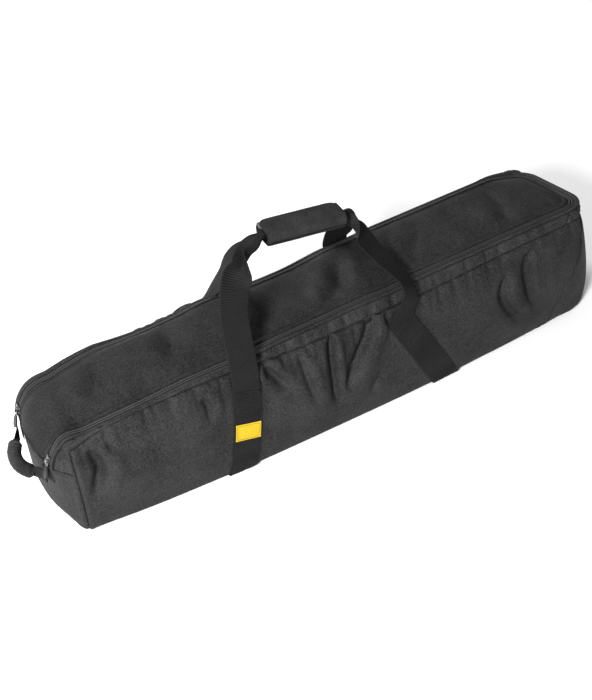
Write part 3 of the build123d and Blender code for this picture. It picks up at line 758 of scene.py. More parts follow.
def wall_creases(points, depth=1.0, width=1.0):
    """Outward push of the shell's points from the creases of both long walls."""
    push = np.zeros(len(points))
    for side, creases in ((FRONT, FRONT_CREASES), (REAR, REAR_CREASES)):
        own = (side * points[:, 1] > CREASED_Y) & (points[:, 0] < CREASED_X)
        scaled = [(line, depth * deep, width * wide) for line, deep, wide in creases]
        push[own] = crease_push(points[own][:, [0, 2]], scaled)
    return push


# --------------------------------------------------------------- sewn shell

WALL_STEP, WALL_ROWS, END_TOP_ROWS, GUSSET_ROWS = 5.2, 36, 9, 6
WELD_GAP = 0.05
# Unevenness of the shell, as (height, size, seed)
SHELL_LUMPS = ((3.2, 150, 71), (1.8, 70, 72))
# Depth of the puckers under and over the long seam, and of the ripple at the foot
PUCKERS_UNDER, PUCKERS_OVER, FOOT_RIPPLE = 5.0, 3.0, 1.5
# Depth of a sewn seam's groove and height of the cloth beside it
GROOVE_DEPTH, GROOVE_RIM = 2.4, 0.9
# How much larger the shell's cloth is cut than the shape it is sewn to
SHELL_CUT = [1.022, 1.022, 1.010]
# How far the left end panel bulges at its foot, and how much more it does above that
FOOT_BULGE, MORE_BULGE = 17, 12.4


def wall_rows():
    """Shares up the wall, with one row exactly where the left end panel stops."""
    heights = wall(0.0, np.linspace(0, 1, 400))[:, 2]
    split = np.interp(END_TOP_Z, heights, np.linspace(0, 1, 400))
    low = np.linspace(0, split, WALL_ROWS - END_TOP_ROWS)
    return np.r_[low, np.linspace(split, 1, END_TOP_ROWS + 1)[1:]], len(low) - 1


def left_end(share, z, c, top_edge):
    """Left end panel, bulging between its corner seams at +-c and closing on top_edge."""
    bulge = FOOT_BULGE + MORE_BULGE * ease(z, 0, 30)
    x = LEFT_X - bulge * (1 - np.abs(share) ** 2.5)
    flat = np.stack([x, share * c, z + 0 * x], axis=-1)
    climb = ((z - z[0]) / (z[-1] - z[0]))[..., None]
    return flat + (top_edge - flat[-1])[None] * climb**3


class Shell:
    """Grids of cloth welded along their common seams into one mesh."""

    def __init__(self):
        self.points, self.faces, self.uv, self.panels, self.fixed = [], [], [], [], []
        self.count = 0

    def add(self, points, uv, panels, fixed):
        rows, columns = points.shape[:2]
        faces, _ = grid(rows, columns)
        self.points.append(points.reshape(-1, 3))
        self.faces.append(faces + self.count)
        self.uv.append(uv.reshape(-1, 2)[faces])
        self.panels.append(panels.ravel())
        self.fixed.append(fixed.ravel())
        self.count += rows * columns

    def weld(self):
        points = np.vstack(self.points)
        keys, first, back = np.unique(
            np.round(points / WELD_GAP).astype(int), axis=0, return_index=True, return_inverse=True
        )
        fixed = np.zeros(len(keys))
        np.maximum.at(fixed, back.ravel(), np.concatenate(self.fixed))
        faces = back.ravel()[np.vstack(self.faces)]
        uv = np.vstack(self.uv).reshape(-1, 2)
        return points[first], faces, uv, np.concatenate(self.panels), fixed


def grid_uv(points):
    """Cloth coordinates of a grid: distances along its rows and columns."""
    across = np.linalg.norm(np.diff(points, axis=1), axis=2).mean(axis=0)
    up = np.linalg.norm(np.diff(points, axis=0), axis=2).mean(axis=1)
    u, v = np.r_[0, np.cumsum(across)], np.r_[0, np.cumsum(up)]
    return np.stack(np.meshgrid(u, v, indexing="xy"), axis=-1)


# Panel numbers. The wall's own are 0 for the front, 1 for the right end and 2 for the rear
LEFT_END, FRONT_GUSSET, RIGHT_GUSSET, REAR_GUSSET = range(3, 7)
# Piece, slot and CAD node of each panel, in the order of their numbers
PANELS = (
    ("front_panel_cloth", "shell_fabric", "front_panel"),
    ("right_end_cloth", "shell_fabric", "right_end_panel"),
    ("rear_panel_cloth", "shell_fabric", "rear_panel"),
    ("left_end_cloth", "shell_fabric", "left_end_panel"),
    ("front_gusset_cloth", "gusset_fabric", "front_gusset"),
    ("right_gusset_cloth", "gusset_fabric", "right_end_gusset"),
    ("rear_gusset_cloth", "gusset_fabric", "rear_gusset"),
)


def build_shell():
    shell = Shell()
    t, split = wall_rows()
    counts = [round(SIDE_RUN / WALL_STEP), 20, 14, 20, round(SIDE_RUN / WALL_STEP)]
    runs = [SIDE_RUN, CORNER_RUN, END_RUN, CORNER_RUN, SIDE_RUN]
    s, start = [0.0], 0.0
    for count, run in zip(counts, runs):
        s += list(start + run * np.arange(1, count + 1) / count)
        start += run
    s = np.array(s)
    first = int(np.abs(s - DIAGONAL_FOOT).argmin())
    last = len(s) - 1 - first
    points = wall(leaning(s[None, :], t[:, None]), t[:, None])
    points[:, 0, 0] = points[:, -1, 0] = LEFT_X
    middle = (np.arange(len(s) - 1) >= first).astype(int) + (np.arange(len(s) - 1) >= last)
    panels = np.broadcast_to(middle, (len(t) - 1, len(s) - 1))
    fixed = np.zeros(points.shape[:2])
    fixed[0] = 1
    shell.add(points, grid_uv(points), panels, fixed)

    # gusset, from the wall's edge to the zip tape
    seam = np.vstack([points[split:, 0], points[-1, 1:-1], points[split:, -1][::-1]])
    tape = zip_point(gusset_partner(seam), TAPE_EDGE, 1.2)
    rows = np.linspace(0, 1, GUSSET_ROWS + 1)[:, None, None]
    strip = seam[None] + (tape - seam)[None] * rows
    outward = unit(np.cross(np.gradient(seam, axis=0), tape - seam))
    number = np.arange(len(seam))
    swell = 2.5 * ease(np.minimum(number, number[::-1]), 0, 6)
    strip += outward[None] * (np.sin(pi * rows) * swell[None, :, None])
    fixed = np.zeros(strip.shape[:2])
    fixed[-1] = 1
    middle = (seam[:-1] + seam[1:]) / 2
    part = np.where(middle[:, 1] < 0, FRONT_GUSSET, REAR_GUSSET)
    part = np.where(middle[:, 0] > RIGHT_X, RIGHT_GUSSET, part)
    shell.add(strip, grid_uv(strip), np.broadcast_to(part, (GUSSET_ROWS, len(part))), fixed)

    # left end panel, between the wall's last and first columns, up to the gusset and lid
    half = -points[: split + 1, 0, 1]
    z = points[: split + 1, 0, 2]
    hinge_y = np.linspace(tape[-1, 1], tape[0, 1], 27)[1:-1]
    hinge_x = tape[0, 0] - 8.0 * (1 - (hinge_y / tape[0, 1]) ** 2)
    hinge = np.stack([hinge_x, hinge_y, tape[0, 2] + 0 * hinge_y], axis=1)
    top_edge = np.vstack([strip[:, -1], hinge, strip[::-1, 0]])
    share = top_edge[:, 1] / half[-1]
    end = left_end(share[None, :], z[:, None], half[:, None], top_edge)
    fixed = np.zeros(end.shape[:2])
    fixed[0] = fixed[-1] = 1
    shell.add(end, grid_uv(end), np.full((split, len(share) - 1), LEFT_END), fixed)
    return shell.weld()


def gusset_partner(seam):
    """Distance along the zip that each seam point's thread runs to."""
    x, y, z = seam.T
    angle = np.degrees(np.arctan2(ARC_X - x, z - ARC_Z))
    top_x = ARC_X - 8.0
    corner_start = ARC_RUN + KNEE_RUN + LONG_RUN
    corner = np.arctan2(x - RIGHT_X, np.abs(y) - END_STRAIGHT)
    d = np.where(
        np.abs(y) > END_STRAIGHT,
        corner_start + corner * CORNER_R,
        corner_start + ZIP_CORNER_RUN + (END_STRAIGHT - np.abs(y)),
    )
    d = np.where(x < RIGHT_X, ARC_RUN + KNEE_RUN + (x - KNEE_X), d)
    d = np.where(x < KNEE_X, ARC_RUN + (x - top_x) / (KNEE_X - top_x) * KNEE_RUN, d)
    on_arc = ARC_RUN - np.radians(np.clip(angle, ARC_TOP, ARC_FOOT) - ARC_TOP) * ARC_R
    d = np.where(angle > ARC_TOP, on_arc, d)
    return np.where(y > 0, ZIP_TOTAL - d, d)


def drape(name, points, faces, fixed, slack, pressure, frames=16, cap=9.0):
    """Cloth simulation: held vertices stay, the rest buckles as slack lets it.

    slack holds the same points as the cut cloth would lie, and cap limits how far any moves.
    """
    piece = make_object(name, points, faces)
    scene = bpy.context.scene
    held = piece.vertex_groups.new(name="held")
    for value in np.unique(fixed):
        if value > 0:
            held.add(np.flatnonzero(fixed == value).tolist(), float(value), "REPLACE")
    piece.shape_key_add(name="start")
    cut = piece.shape_key_add(name="cut")
    cut.data.foreach_set("co", (slack * MM).astype(np.float32).ravel())
    cut.value = 0.0
    modifier = piece.modifiers.new("cloth", "CLOTH")
    cloth = modifier.settings
    cloth.quality = 6
    cloth.mass = 0.3
    cloth.tension_stiffness = cloth.compression_stiffness = 18
    cloth.shear_stiffness = 4
    cloth.bending_stiffness = 0.6
    cloth.tension_damping = cloth.compression_damping = 8
    cloth.air_damping = 4
    cloth.vertex_group_mass = "held"
    cloth.rest_shape_key = cut
    cloth.effector_weights.gravity = 0
    cloth.use_pressure = True
    cloth.uniform_pressure_force = pressure
    modifier.point_cache.frame_start = 1
    modifier.point_cache.frame_end = frames
    for step in range(1, frames + 1):
        scene.frame_set(step)
    graph = bpy.context.evaluated_depsgraph_get()
    draped = coordinates(piece.evaluated_get(graph).to_mesh())
    bpy.data.objects.remove(piece)
    scene.frame_set(1)
    moved = draped - points
    far = np.linalg.norm(moved, axis=1)
    share = np.where(far > 0, cap * np.tanh(far / cap) / np.maximum(far, 1e-9), 1.0)
    return points + moved * share[:, None]


def vertex_normals(points, faces):
    mesh = bpy.data.meshes.new("scratch")
    mesh.from_pydata((points * MM).tolist(), [], faces.tolist())
    mesh.update()
    return normals(mesh)


def split_panels(piece, panels):
    """Separate objects, with their panels' slots and nodes, for each material index."""
    mesh = piece.data
    count = len(mesh.polygons)
    index = np.zeros(count, np.int32)
    mesh.polygons.foreach_get("material_index", index)
    corners = np.zeros(count * 4, np.int32)
    mesh.loops.foreach_get("vertex_index", corners)
    faces = corners.reshape(-1, 4)
    uv = np.zeros(count * 8, np.float32)
    mesh.uv_layers["cloth_mm"].data.foreach_get("uv", uv)
    uv = uv.reshape(-1, 4, 2)
    points = coordinates(mesh)
    found = []
    for number, (name, slot, node) in enumerate(panels):
        own = index == number
        used, local = np.unique(faces[own], return_inverse=True)
        local = local.reshape(-1, 4)
        flat = np.arange(local.size).reshape(-1, 4)
        panel = make_object(name, points[used], local, uv[own].reshape(-1, 2), flat)
        found.append((panel, slot, node))
    bpy.data.objects.remove(piece)
    return found


def under_strap(points):
    """How strongly each point is held down by the two straps, 0 to 1."""
    x, _, z = points.T
    hold = np.zeros(len(points))
    for foot, top in STRAPS.values():
        middle = foot + (top - foot) * np.clip((z + 5) / 150, 0, 1)
        near = 1 - ease(np.abs(x - middle), 22, 36)
        hold = np.maximum(hold, near * (1 - ease(z, 138, 156)))
    return hold


def ripple(along, seed, waves=((34, 1.0), (21, 0.8), (13, 0.5))):
    """Irregular puckers along a seam: 0 on the crests, down to -1 in the valleys."""
    phases = np.random.default_rng(seed)
    total, weight = np.zeros_like(along), 0.0
    for length, size in waves:
        drift = 0.35 * np.sin(along / (3.1 * length) + phases.uniform(0, 6.3))
        total += size * np.cos(2 * pi * (along / length + drift) + phases.uniform(0, 6.3))
        weight += size
    return -np.clip(0.5 + 0.75 * total / weight, 0, 1) ** 2


def plan_run(points):
    """Distance along the wall of points anywhere on the shell."""
    x, y, _ = points.T
    angle = np.arctan2(np.maximum(x - RIGHT_X, 0), np.maximum(np.abs(y) - END_STRAIGHT, 1e-6))
    run = np.minimum(x, RIGHT_X) - LEFT_X + angle * CORNER_RUN / (pi / 2)
    run += np.where(np.abs(y) < END_STRAIGHT, END_STRAIGHT - np.abs(y), 0) * (x > RIGHT_X)
    return np.where(y > 0, PLAN_RUN - run, run)


def panel_seams(mesh):
    """Numbers of the vertices where two panels of one mesh meet."""
    loops = len(mesh.loops)
    edge, vertex = np.zeros(loops, np.int32), np.zeros(loops, np.int32)
    mesh.loops.foreach_get("edge_index", edge)
    mesh.loops.foreach_get("vertex_index", vertex)
    panel = np.zeros(len(mesh.polygons), np.int32)
    mesh.polygons.foreach_get("material_index", panel)
    panel = np.repeat(panel, 4)
    low = np.full(len(mesh.edges), 99)
    high = np.full(len(mesh.edges), -1)
    np.minimum.at(low, edge, panel)
    np.maximum.at(high, edge, panel)
    ends = np.zeros(len(mesh.edges) * 2, np.int32)
    mesh.edges.foreach_get("vertices", ends)
    ends = ends.reshape(-1, 2)
    return np.unique(ends[(high > low) & (low < 99)])


def distance_to(points, targets):
    tree = KDTree(len(targets))
    for number, target in enumerate(targets):
        tree.insert(target, number)
    tree.balance()
    return np.array([tree.find(point)[2] for point in points])


def shape_seams(mesh):
    """Puckers beside the long seam, small ones at the foot, sharp creases and sewn grooves."""
    points = coordinates(mesh)
    apart = distance_to(points, points[panel_seams(mesh)])
    x, y, z = points.T
    below = seam_z(np.minimum(x, RIGHT_X), y > 0) - z
    run = plan_run(points)
    puckers = PUCKERS_UNDER * ripple(run, 3) * np.exp(-np.clip(below, 0, 200) / 22) * ease(below, -1, 6)
    puckers += PUCKERS_OVER * ripple(run, 5) * ease(-below, 0, 6) * ease(below, -24, -10)
    foot = FOOT_RIPPLE * ripple(run, 9) * np.exp(-np.clip(z - 6, 0, 200) / 12) * ease(z, 5, 12)
    foot += wall_creases(points, depth=0.3, width=0.5)
    groove = -GROOVE_DEPTH * bell(apart, 2.6) + GROOVE_RIM * bell(apart - 6, 3.2)
    push = (puckers + foot) * (1 - under_strap(points)) + groove
    points += normals(mesh) * push[:, None]
    points[:, 2] = np.maximum(points[:, 2], 1.2)
    set_coordinates(mesh, points)


def make_shell():
    """Wall, left end and gusset: draped as one cloth, then parted along their seams."""
    points, faces, uv, panels, fixed = build_shell()
    hold = under_strap(points)
    x, y, z = points.T
    push = wall_creases(points)
    level = ease(z, 6, 50) * ease(seam_z(np.minimum(x, RIGHT_X), y > 0) - z, 0, 40)
    level *= ease(x, LEFT_X, LEFT_X + 40)
    push += uneven(points, SHELL_LUMPS) * level
    push *= 1 - hold
    start = points + vertex_normals(points, faces) * push[:, None]
    slack = points * SHELL_CUT
    held = np.maximum(fixed, 0.9 * np.maximum(hold, ease(LEFT_X - x, 1, 12)))
    start = drape("shell_drape", start, faces, held, slack, pressure=1.0)
    shell = make_object("shell", start, faces, uv, np.arange(faces.size).reshape(-1, 4), panels)
    smoother(shell)
    shape_seams(shell.data)
    for panel, slot, node in split_panels(shell, PANELS):
        thicken(panel, CLOTH)
        place(panel, slot, "bag", (node,))


make_shell()


# ----------------------------------------------------------------------- lid

LID_CROWN = 12.0
LID_LENGTH = (ZIP_TOTAL - 2 * (ZIP_Y - CORNER_R)) / 2
LID_STEP = 6.0
LID_LUMPS = ((1.7, 110, 75), (0.9, 48, 76))
LID_CUT = [1.012, 1.03, 1.01]
LID_BEND = ("bag", "lid", (-0.464, 0, 0.119), (-0.452, 0, 0.156))
# Creases of the lid, as (x, y) lines with their depth and half width
LID_CREASES = (
    (((-250, -30), (-236, 10), (-244, 44)), 2.5, 16.0),
    (((-120, -52), (-92, -20), (-84, 30)), 3.0, 12.0),
    (((-6, -50), (30, -24), (52, 10)), 3.0, 12.0),
    (((60, 20), (40, -18), (44, -46)), 2.5, 11.0),
    (((150, -44), (190, 0), (206, 44)), 2.0, 18.0),
    (((330, -50), (344, -8), (334, 40)), 2.5, 16.0),
    (((-380, -30), (-352, 0), (-348, 36)), 2.0, 14.0),
)


def lid_point(q, v):
    """Point of the lid at distance q along the front zip, v from -1 front to 1 rear."""
    edge = zip_point(q, -TAPE_EDGE, 1.2)
    half = -edge[..., 1]
    q, v = np.broadcast_arrays(q, v)
    rear_edge = zip_point(ZIP_TOTAL - q, -TAPE_EDGE, 1.2)
    edge = edge + (rear_edge - edge) * ((1 + v) / 2)[..., None]
    angle = np.radians(ARC_FOOT - np.degrees(np.clip(q, 0, ARC_RUN) / ARC_R))
    level = ease(q, ARC_RUN - 30, ARC_RUN + 60)
    angle = np.where(q < ARC_RUN, angle, radians(ARC_TOP) * (1 - level))
    to_end = ease(LID_LENGTH - q, 0, 46)
    left = ease(q, 40, 110) * (1 - ease(q, 160, 420))
    crown = (8 + (LID_CROWN - 8) * ease(q, 0, 60) + 8 * left) * (0.12 + 0.88 * to_end)
    lift = crown * (1 - np.abs(v) ** 3.4)
    x = edge[..., 0] - np.sin(angle) * lift
    z = edge[..., 2] + np.cos(angle) * lift
    return np.stack([x, half * v, z], axis=-1)


def make_lid():
    """The lid's cloth, draped between its two zip edges and rippled beside them."""
    q = np.linspace(0, LID_LENGTH, round(LID_LENGTH / LID_STEP))
    v = np.linspace(-1, 1, 23)
    points = lid_point(q[None, :], v[:, None])
    faces, _ = grid(len(v), len(q))
    uv = grid_uv(points)
    fixed = np.zeros(points.shape[:2])
    fixed[0] = fixed[-1] = fixed[:, 0] = fixed[:, -1] = 1
    flat = points.reshape(-1, 3)
    push = uneven(flat, LID_LUMPS, crease_push(flat[:, :2], LID_CREASES))
    push *= ease(1 - np.abs(v), 0, 0.35).repeat(len(q))
    start = flat + vertex_normals(flat, faces) * push[:, None]
    slack = flat * LID_CUT
    start = drape("lid_drape", start, faces, fixed.ravel(), slack, pressure=0.6)
    lid = make_object("lid_cloth", start, faces, uv, faces)
    smoother(lid)
    mesh = lid.data
    points = coordinates(mesh)
    x, y, _ = points.T
    edge = np.abs(y) - np.interp(x, [-456, -406, KNEE_X, RIGHT_X, 440], [46, 46, 54, 54, 40])
    push = 1.3 * ripple(x + 0.3 * y, 11) * np.exp(-np.clip(-edge, 0, 90) / 16) * ease(-edge, 1, 6)
    points += normals(mesh) * push[:, None]
    set_coordinates(mesh, points)
    thicken(lid, CLOTH)
    place(lid, "lid_fabric", LID_BEND, ("lid_panel", "lid_hinge_seam"))


make_lid()


# ----------------------------------------------------------------------- zip

# Cross-sections beside the zip, as (outwards, upwards) stops
TAPE_SECTION = ((3.0, 0.1), (6.0, 0.0), (9.0, 0.2), (13.0, 0.2))
HEM_LOW = 6.6
HEM_SECTION = (
    (HEM_LOW, -0.2),
    (HEM_LOW - 0.2, 1.2),
    (HEM_LOW + 0.7, 2.2),
    (HEM_LOW + 2.6, 2.4),
    (12.0, 1.7),
)
COIL_PITCH = 2.2
ALONG_ZIP = np.linspace(0, ZIP_TOTAL, round(ZIP_TOTAL / 3.0))


def zip_strip(side, section):
    """Grid of a strip that follows the zip on one side of it."""
    points = np.stack([zip_point(ALONG_ZIP, side * u, w) for u, w in section])
    return points if side > 0 else points[::-1]


def make_zip_side(side, name, cloth_slot, bodies, tape_node):
    """Tape, folded hem and topstitching of one side: side 1 is the body's."""
    tape = zip_strip(side, TAPE_SECTION)
    lay(f"{name}_tape", tape, grid_uv(tape), "zip_tape", bodies, (tape_node,), thickness=0.7)
    hem = zip_strip(side, HEM_SECTION)
    lay(f"{name}_hem", hem, grid_uv(hem), cloth_slot, bodies, thickness=1.0, levels=1)
    line = zip_point(ALONG_ZIP, side * (HEM_LOW + 2.0), 2.35)
    up = zip_point(ALONG_ZIP, side * (HEM_LOW + 2.0), 3.35) - line
    threads = join_parts(f"{name}_topstitch", stitches_along(line, up, pitch=3.6))
    place(threads, "thread", bodies)


def make_coil(side, name, bodies, nodes):
    """One side of the nylon coil: a bead for each turn, bound along its outer edge."""
    q = np.arange(3.0, ZIP_TOTAL - 3.0, COIL_PITCH / 4)
    phase = 2 * pi * q / COIL_PITCH + (0 if side > 0 else pi)
    size = 1 + 0.22 * np.cos(phase)
    rings = []
    for turn in np.linspace(0, 2 * pi, 8, endpoint=False):
        u = side * (1.9 + 1.15 * size * cos(turn))
        w = 0.5 + 1.15 * size * sin(turn)
        rings.append(zip_point(q, u, w))
    points = np.stack(rings)
    if side < 0:
        points = points[::-1]
    uv = np.stack(np.meshgrid(q, np.arange(9.0), indexing="xy"), axis=-1)
    lay(name, points, uv, "zip_coil", bodies, nodes, wraps=(True, False))


make_zip_side(1, "zip_body", "gusset_fabric", "bag", "zip_tape_body")
make_zip_side(-1, "zip_lid", "lid_fabric", LID_BEND, "zip_tape_lid")
make_coil(1, "zip_body_coil", "bag", ("zip_coil_body",))
make_coil(-1, "zip_lid_coil", LID_BEND, ("zip_coil_lid",))


# ------------------------------------------------------- straps round the body

WEBBING_WIDTH, WEBBING_HALF = 44.0, 0.85
RIB_PITCH, RIB_DEPTH = 3.4, 0.3
STRAP_TOP_Z = 145.5


def developed(x, v, side):
    """Point of the body at x, v mm up its wall from the base's edge; below 0 is the base."""
    share = np.clip(v, 0, None) / SECTION_RUN[-1]
    point = wall(x - LEFT_X, share)
    point[..., 1] += np.clip(-v, 0, None)
    point[..., 1] *= -side
    return point


def webbing_edges(columns):
    """Places across a webbing and its half thickness there, thinner at the selvedges."""
    across = np.sin(np.linspace(-pi / 2, pi / 2, columns))
    return across * WEBBING_WIDTH / 2, WEBBING_HALF * (1 - 0.55 * np.abs(across) ** 14)


def ribs(along, half, depth=RIB_DEPTH):
    """Thickness above and below a webbing's middle, with its crosswise ribs."""
    wave = np.cos(2 * pi * along / RIB_PITCH)[:, None] * depth
    edge = np.clip(half / WEBBING_HALF, 0, 1)[None]
    return half[None] + wave * edge


STRAP_RUN = float(
    np.interp(STRAP_TOP_Z, wall(250.0, np.linspace(0, 1, 300))[:, 2], np.linspace(0, 1, 300))
    * SECTION_RUN[-1]
)


def strap_middle(
    foot, top, side, columns=15, step=0.85, low=-98.0, high=STRAP_RUN, width=WEBBING_WIDTH, lift=1.3
):
    """Grid of points along a body strap's middle, from its top down to the base's middle."""
    stops = [(top + (foot - top) * (STRAP_RUN - v) / (STRAP_RUN + 5), v) for v in (STRAP_RUN, 90, 40, 0)]
    stops += [(foot + 0.03 * (foot - top), -40), (foot + 0.03 * (foot - top), -98)]
    line = through(stops, 600, dims=2)
    keep = (line[:, 1] <= high) & (line[:, 1] >= low)
    line = through(line[keep][:: max(1, keep.sum() // 40)], max(2, round((high - low) / step)), dims=2)
    tangent = tangents(line)
    across, half = webbing_edges(columns)
    across = across * width / WEBBING_WIDTH
    sideways = np.stack([-tangent[:, 1], tangent[:, 0]], axis=1)
    flat = line[:, None] + sideways[:, None] * across[None, :, None]
    middle = developed(flat[..., 0], flat[..., 1], side)
    out = sheet_normals(middle)
    out *= np.sign((out * [0, side, -0.3]).sum(axis=2).mean())
    return middle + out * lift, run_length(line), half


def make_body_strap(name, foot, top):
    """One webbing from the front's top, under the base, to the rear's top."""
    front, along, half = strap_middle(foot, top, FRONT)
    rear, _, _ = strap_middle(foot, top, REAR)
    rear = rear[::-1]
    joined = np.vstack([front, rear[2:]])
    along = np.r_[along, along[-1] + along[1:-1]]
    thick = ribs(along, half)
    slab(name + "_webbing", joined, thick, thick, "webbing", "bag", (name,))


def strap_patch(foot, top, side, low, high, width, lift, rows=9, columns=9):
    """A small grid lying on a body strap, between two heights up the wall."""
    middle, _, _ = strap_middle(foot, top, side, columns, (high - low) / rows, low, high, width, lift)
    return middle


# Foot and top, measured up the wall, and width of what lies on the straps
STITCH_BOX = (122.0, 150.0, 34.0)
EDGE_STITCHING = (6.0, 150.0, 41.0)
LABEL = (78.0, 104.0, 40.0)
LABEL_MARGIN = 2.2


def outline_threads(patch, cross=False, pitch=3.2):
    """Threads round the edge of a patch, and from corner to corner."""
    rows, columns = patch.shape[:2]
    normal = sheet_normals(patch)
    edges = [(patch[0], normal[0]), (patch[-1], normal[-1])]
    edges += [(patch[:, 0], normal[:, 0]), (patch[:, -1], normal[:, -1])]
    if cross:
        count = 15
        steps = np.linspace(0, 1, count)
        for turn in (1, -1):
            r = np.round(steps * (rows - 1)).astype(int)
            c = np.round((steps if turn > 0 else 1 - steps) * (columns - 1)).astype(int)
            edges.append((patch[r, c], normal[r, c]))
    found = []
    for line, up in edges:
        found += stitches_along(line, up, pitch=pitch)
    return found


def facing(patch, side):
    """The same patch, its rows turned if needed so that its normals point outwards."""
    outward = sheet_normals(patch)[..., 1].mean() * side
    return patch if outward > 0 else patch[:, ::-1]


def strap_end(name, side):
    """Two stops that carry a handle on from the top of a body strap."""
    middle, _, _ = strap_middle(*STRAPS[name], side)
    column = middle.shape[1] // 2
    start = middle[0, column]
    onward = start - middle[6, column]
    onward /= np.linalg.norm(onward)
    normal = sheet_normals(middle)[0, column]
    normal *= np.sign(normal[1] * side)
    return [(tuple(start + onward * far), tuple(normal), 0.0, 0) for far in (-1.2, 7.0)]


def make_straps():
    """Both straps with their box stitches and the stitching along their edges."""
    threads = []
    for name, (foot, top) in STRAPS.items():
        make_body_strap(name, foot, top)
        for side in (FRONT, REAR):
            low, high, width = STITCH_BOX
            patch = strap_patch(foot, top, side, low, high, width, 2.35, 31, 31)
            threads += outline_threads(facing(patch, side), cross=True)
            low, high, width = EDGE_STITCHING
            edge = facing(strap_patch(foot, top, side, low, high, width, 2.3, 60, 5), side)
            normal = sheet_normals(edge)
            for column in (0, -1):
                threads += stitches_along(edge[:, column], normal[:, column], pitch=3.6)
    place(join_parts("strap_threads", threads), "thread", "bag", ("strap_box_stitches",))


def label_patch(margin, lift):
    """Grid of the label, margin mm in from its outline and lift mm above the strap."""
    low, high, width = LABEL
    size = (low + margin, high - margin, width - 2 * margin)
    return facing(strap_patch(*STRAPS["left_body_strap"], FRONT, *size, lift, 24, 31), FRONT)


def make_label():
    """Blank yellow label with a stitched border."""
    patch = label_patch(0, 2.75)
    wave = 0.22 * lumps(patch, 26, 21)
    patch = patch + sheet_normals(patch) * wave[..., None]
    slab("label_cloth", patch, 0.25, 0.35, "label_yellow", "bag", ("label",), 1)
    border = outline_threads(label_patch(LABEL_MARGIN, 3.1), pitch=2.6)
    place(join_parts("label_threads", border), "thread", "bag")


make_straps()
make_label()


# ------------------------------------------------------------ carrying handles

GRIP_CENTRE = np.array([-9.0, 10.0, 308.0])
GRIP_RUN = np.array([140.0, -8.0, -13.0])
GRIP_ALONG = GRIP_RUN / np.linalg.norm(GRIP_RUN)
GRIP_SIDE = np.cross([0, 0, 1], GRIP_ALONG)
GRIP_SIDE /= np.linalg.norm(GRIP_SIDE)
GRIP_UP = np.cross(GRIP_ALONG, GRIP_SIDE)
GRIP_LENGTH = 127.0


def grip_point(along, side, up):
    """Point in the grip's own frame: along it, towards the rear and up."""
    along, side, up = np.broadcast_arrays(along, side, up)
    return (
        GRIP_CENTRE
        + along[..., None] * GRIP_ALONG
        + side[..., None] * GRIP_SIDE
        + up[..., None] * GRIP_UP
    )


# Stops of each leg, from the body up: point, facing, how far folded, roll in degrees
FRONT_LEFT_LEG = (
    ((-168, -93, 178), (0, -1, 0.1), 0.0, 0),
    ((-167, -84, 207), (0, -1, 0.3), 0.0, 0),
    ((-166, -73, 240), (0, -1, 0.3), 0.0, 0),
    ((-162, -62, 271), (0, -1, 0.35), 0.02, 0),
    ((-154, -52, 295), (-0.1, -0.9, 0.5), 0.05, 0),
    ((-142, -42, 312), (-0.2, -0.6, 0.8), 0.3, 5),
    ((-129, -32, 321), (-0.1, -0.4, 1.0), 0.75, 30),
    ((-115, -21, 323), (0, -0.2, 1.0), 0.98, 75),
    ((-97, -9, 318), (0, -0.1, 1.0), 1.0, 88),
)
FRONT_RIGHT_LEG = (
    ((100, -99, 167), (0.1, -1, 0), 0.02, 0),
    ((106, -103, 190), (0.4, -1, 0.2), 0.02, 0),
    ((110, -95, 211), (0.7, -0.8, 0.5), 0.0, 0),
    ((106, -74, 223), (0.6, -0.6, 0.6), 0.0, 0),
    ((98, -48, 234.5), (0.5, -0.6, 0.6), 0.0, 0),
    ((89, -24, 248.5), (0.5, -0.6, 0.6), 0.04, 0),
    ((81, -12, 263), (0.4, -0.6, 0.7), 0.1, 4),
    ((74, -5, 277), (0.2, -0.5, 0.9), 0.35, 25),
)
REAR_LEFT_LEG = (
    ((-146, 93, 160), (-0.5, 0.9, 0.5), 0.0, 0),
    ((-129, 84, 182), (-0.8, 0.6, 0.6), 0.0, 0),
    ((-119, 70, 209), (-0.9, 0.4, 0.5), 0.0, 0),
    ((-114, 52, 246), (-0.9, 0.3, 0.4), 0.04, 0),
    ((-105, 34, 278), (-0.9, 0.3, 0.4), 0.3, 15),
    ((-88, 17, 307), (-0.8, 0.3, 0.6), 0.85, 60),
)
REAR_RIGHT_LEG = (
    ((100, 93, 170), (0, 1, 0.2), 0.0, 0),
    ((93, 80, 192), (0.1, 1, 0.5), 0.0, 0),
    ((88, 62, 220), (0.3, 1, 0.5), 0.04, 0),
    ((85, 42, 250), (0.5, 0.8, 0.4), 0.3, 15),
    ((77, 20, 284), (0.5, 0.4, 0.8), 0.85, 60),
)


def fold_section(across, folded, roll):
    """Webbing's cross-section, folded lengthways about its middle: (sideways, up)."""
    arc = (1 - 0.87 * folded) * WEBBING_WIDTH / 2
    heading = np.clip(across / arc, -1, 1) * folded * radians(88)
    step = np.gradient(across)
    x, n = np.cumsum(np.cos(heading) * step), np.cumsum(np.sin(heading) * step)
    x, n = x - x.mean(), n - n.mean()
    a = radians(roll)
    bunched = 1 - 0.48 * folded**2
    return (x * cos(a) - n * sin(a)) * bunched, (x * sin(a) + n * cos(a)) * bunched


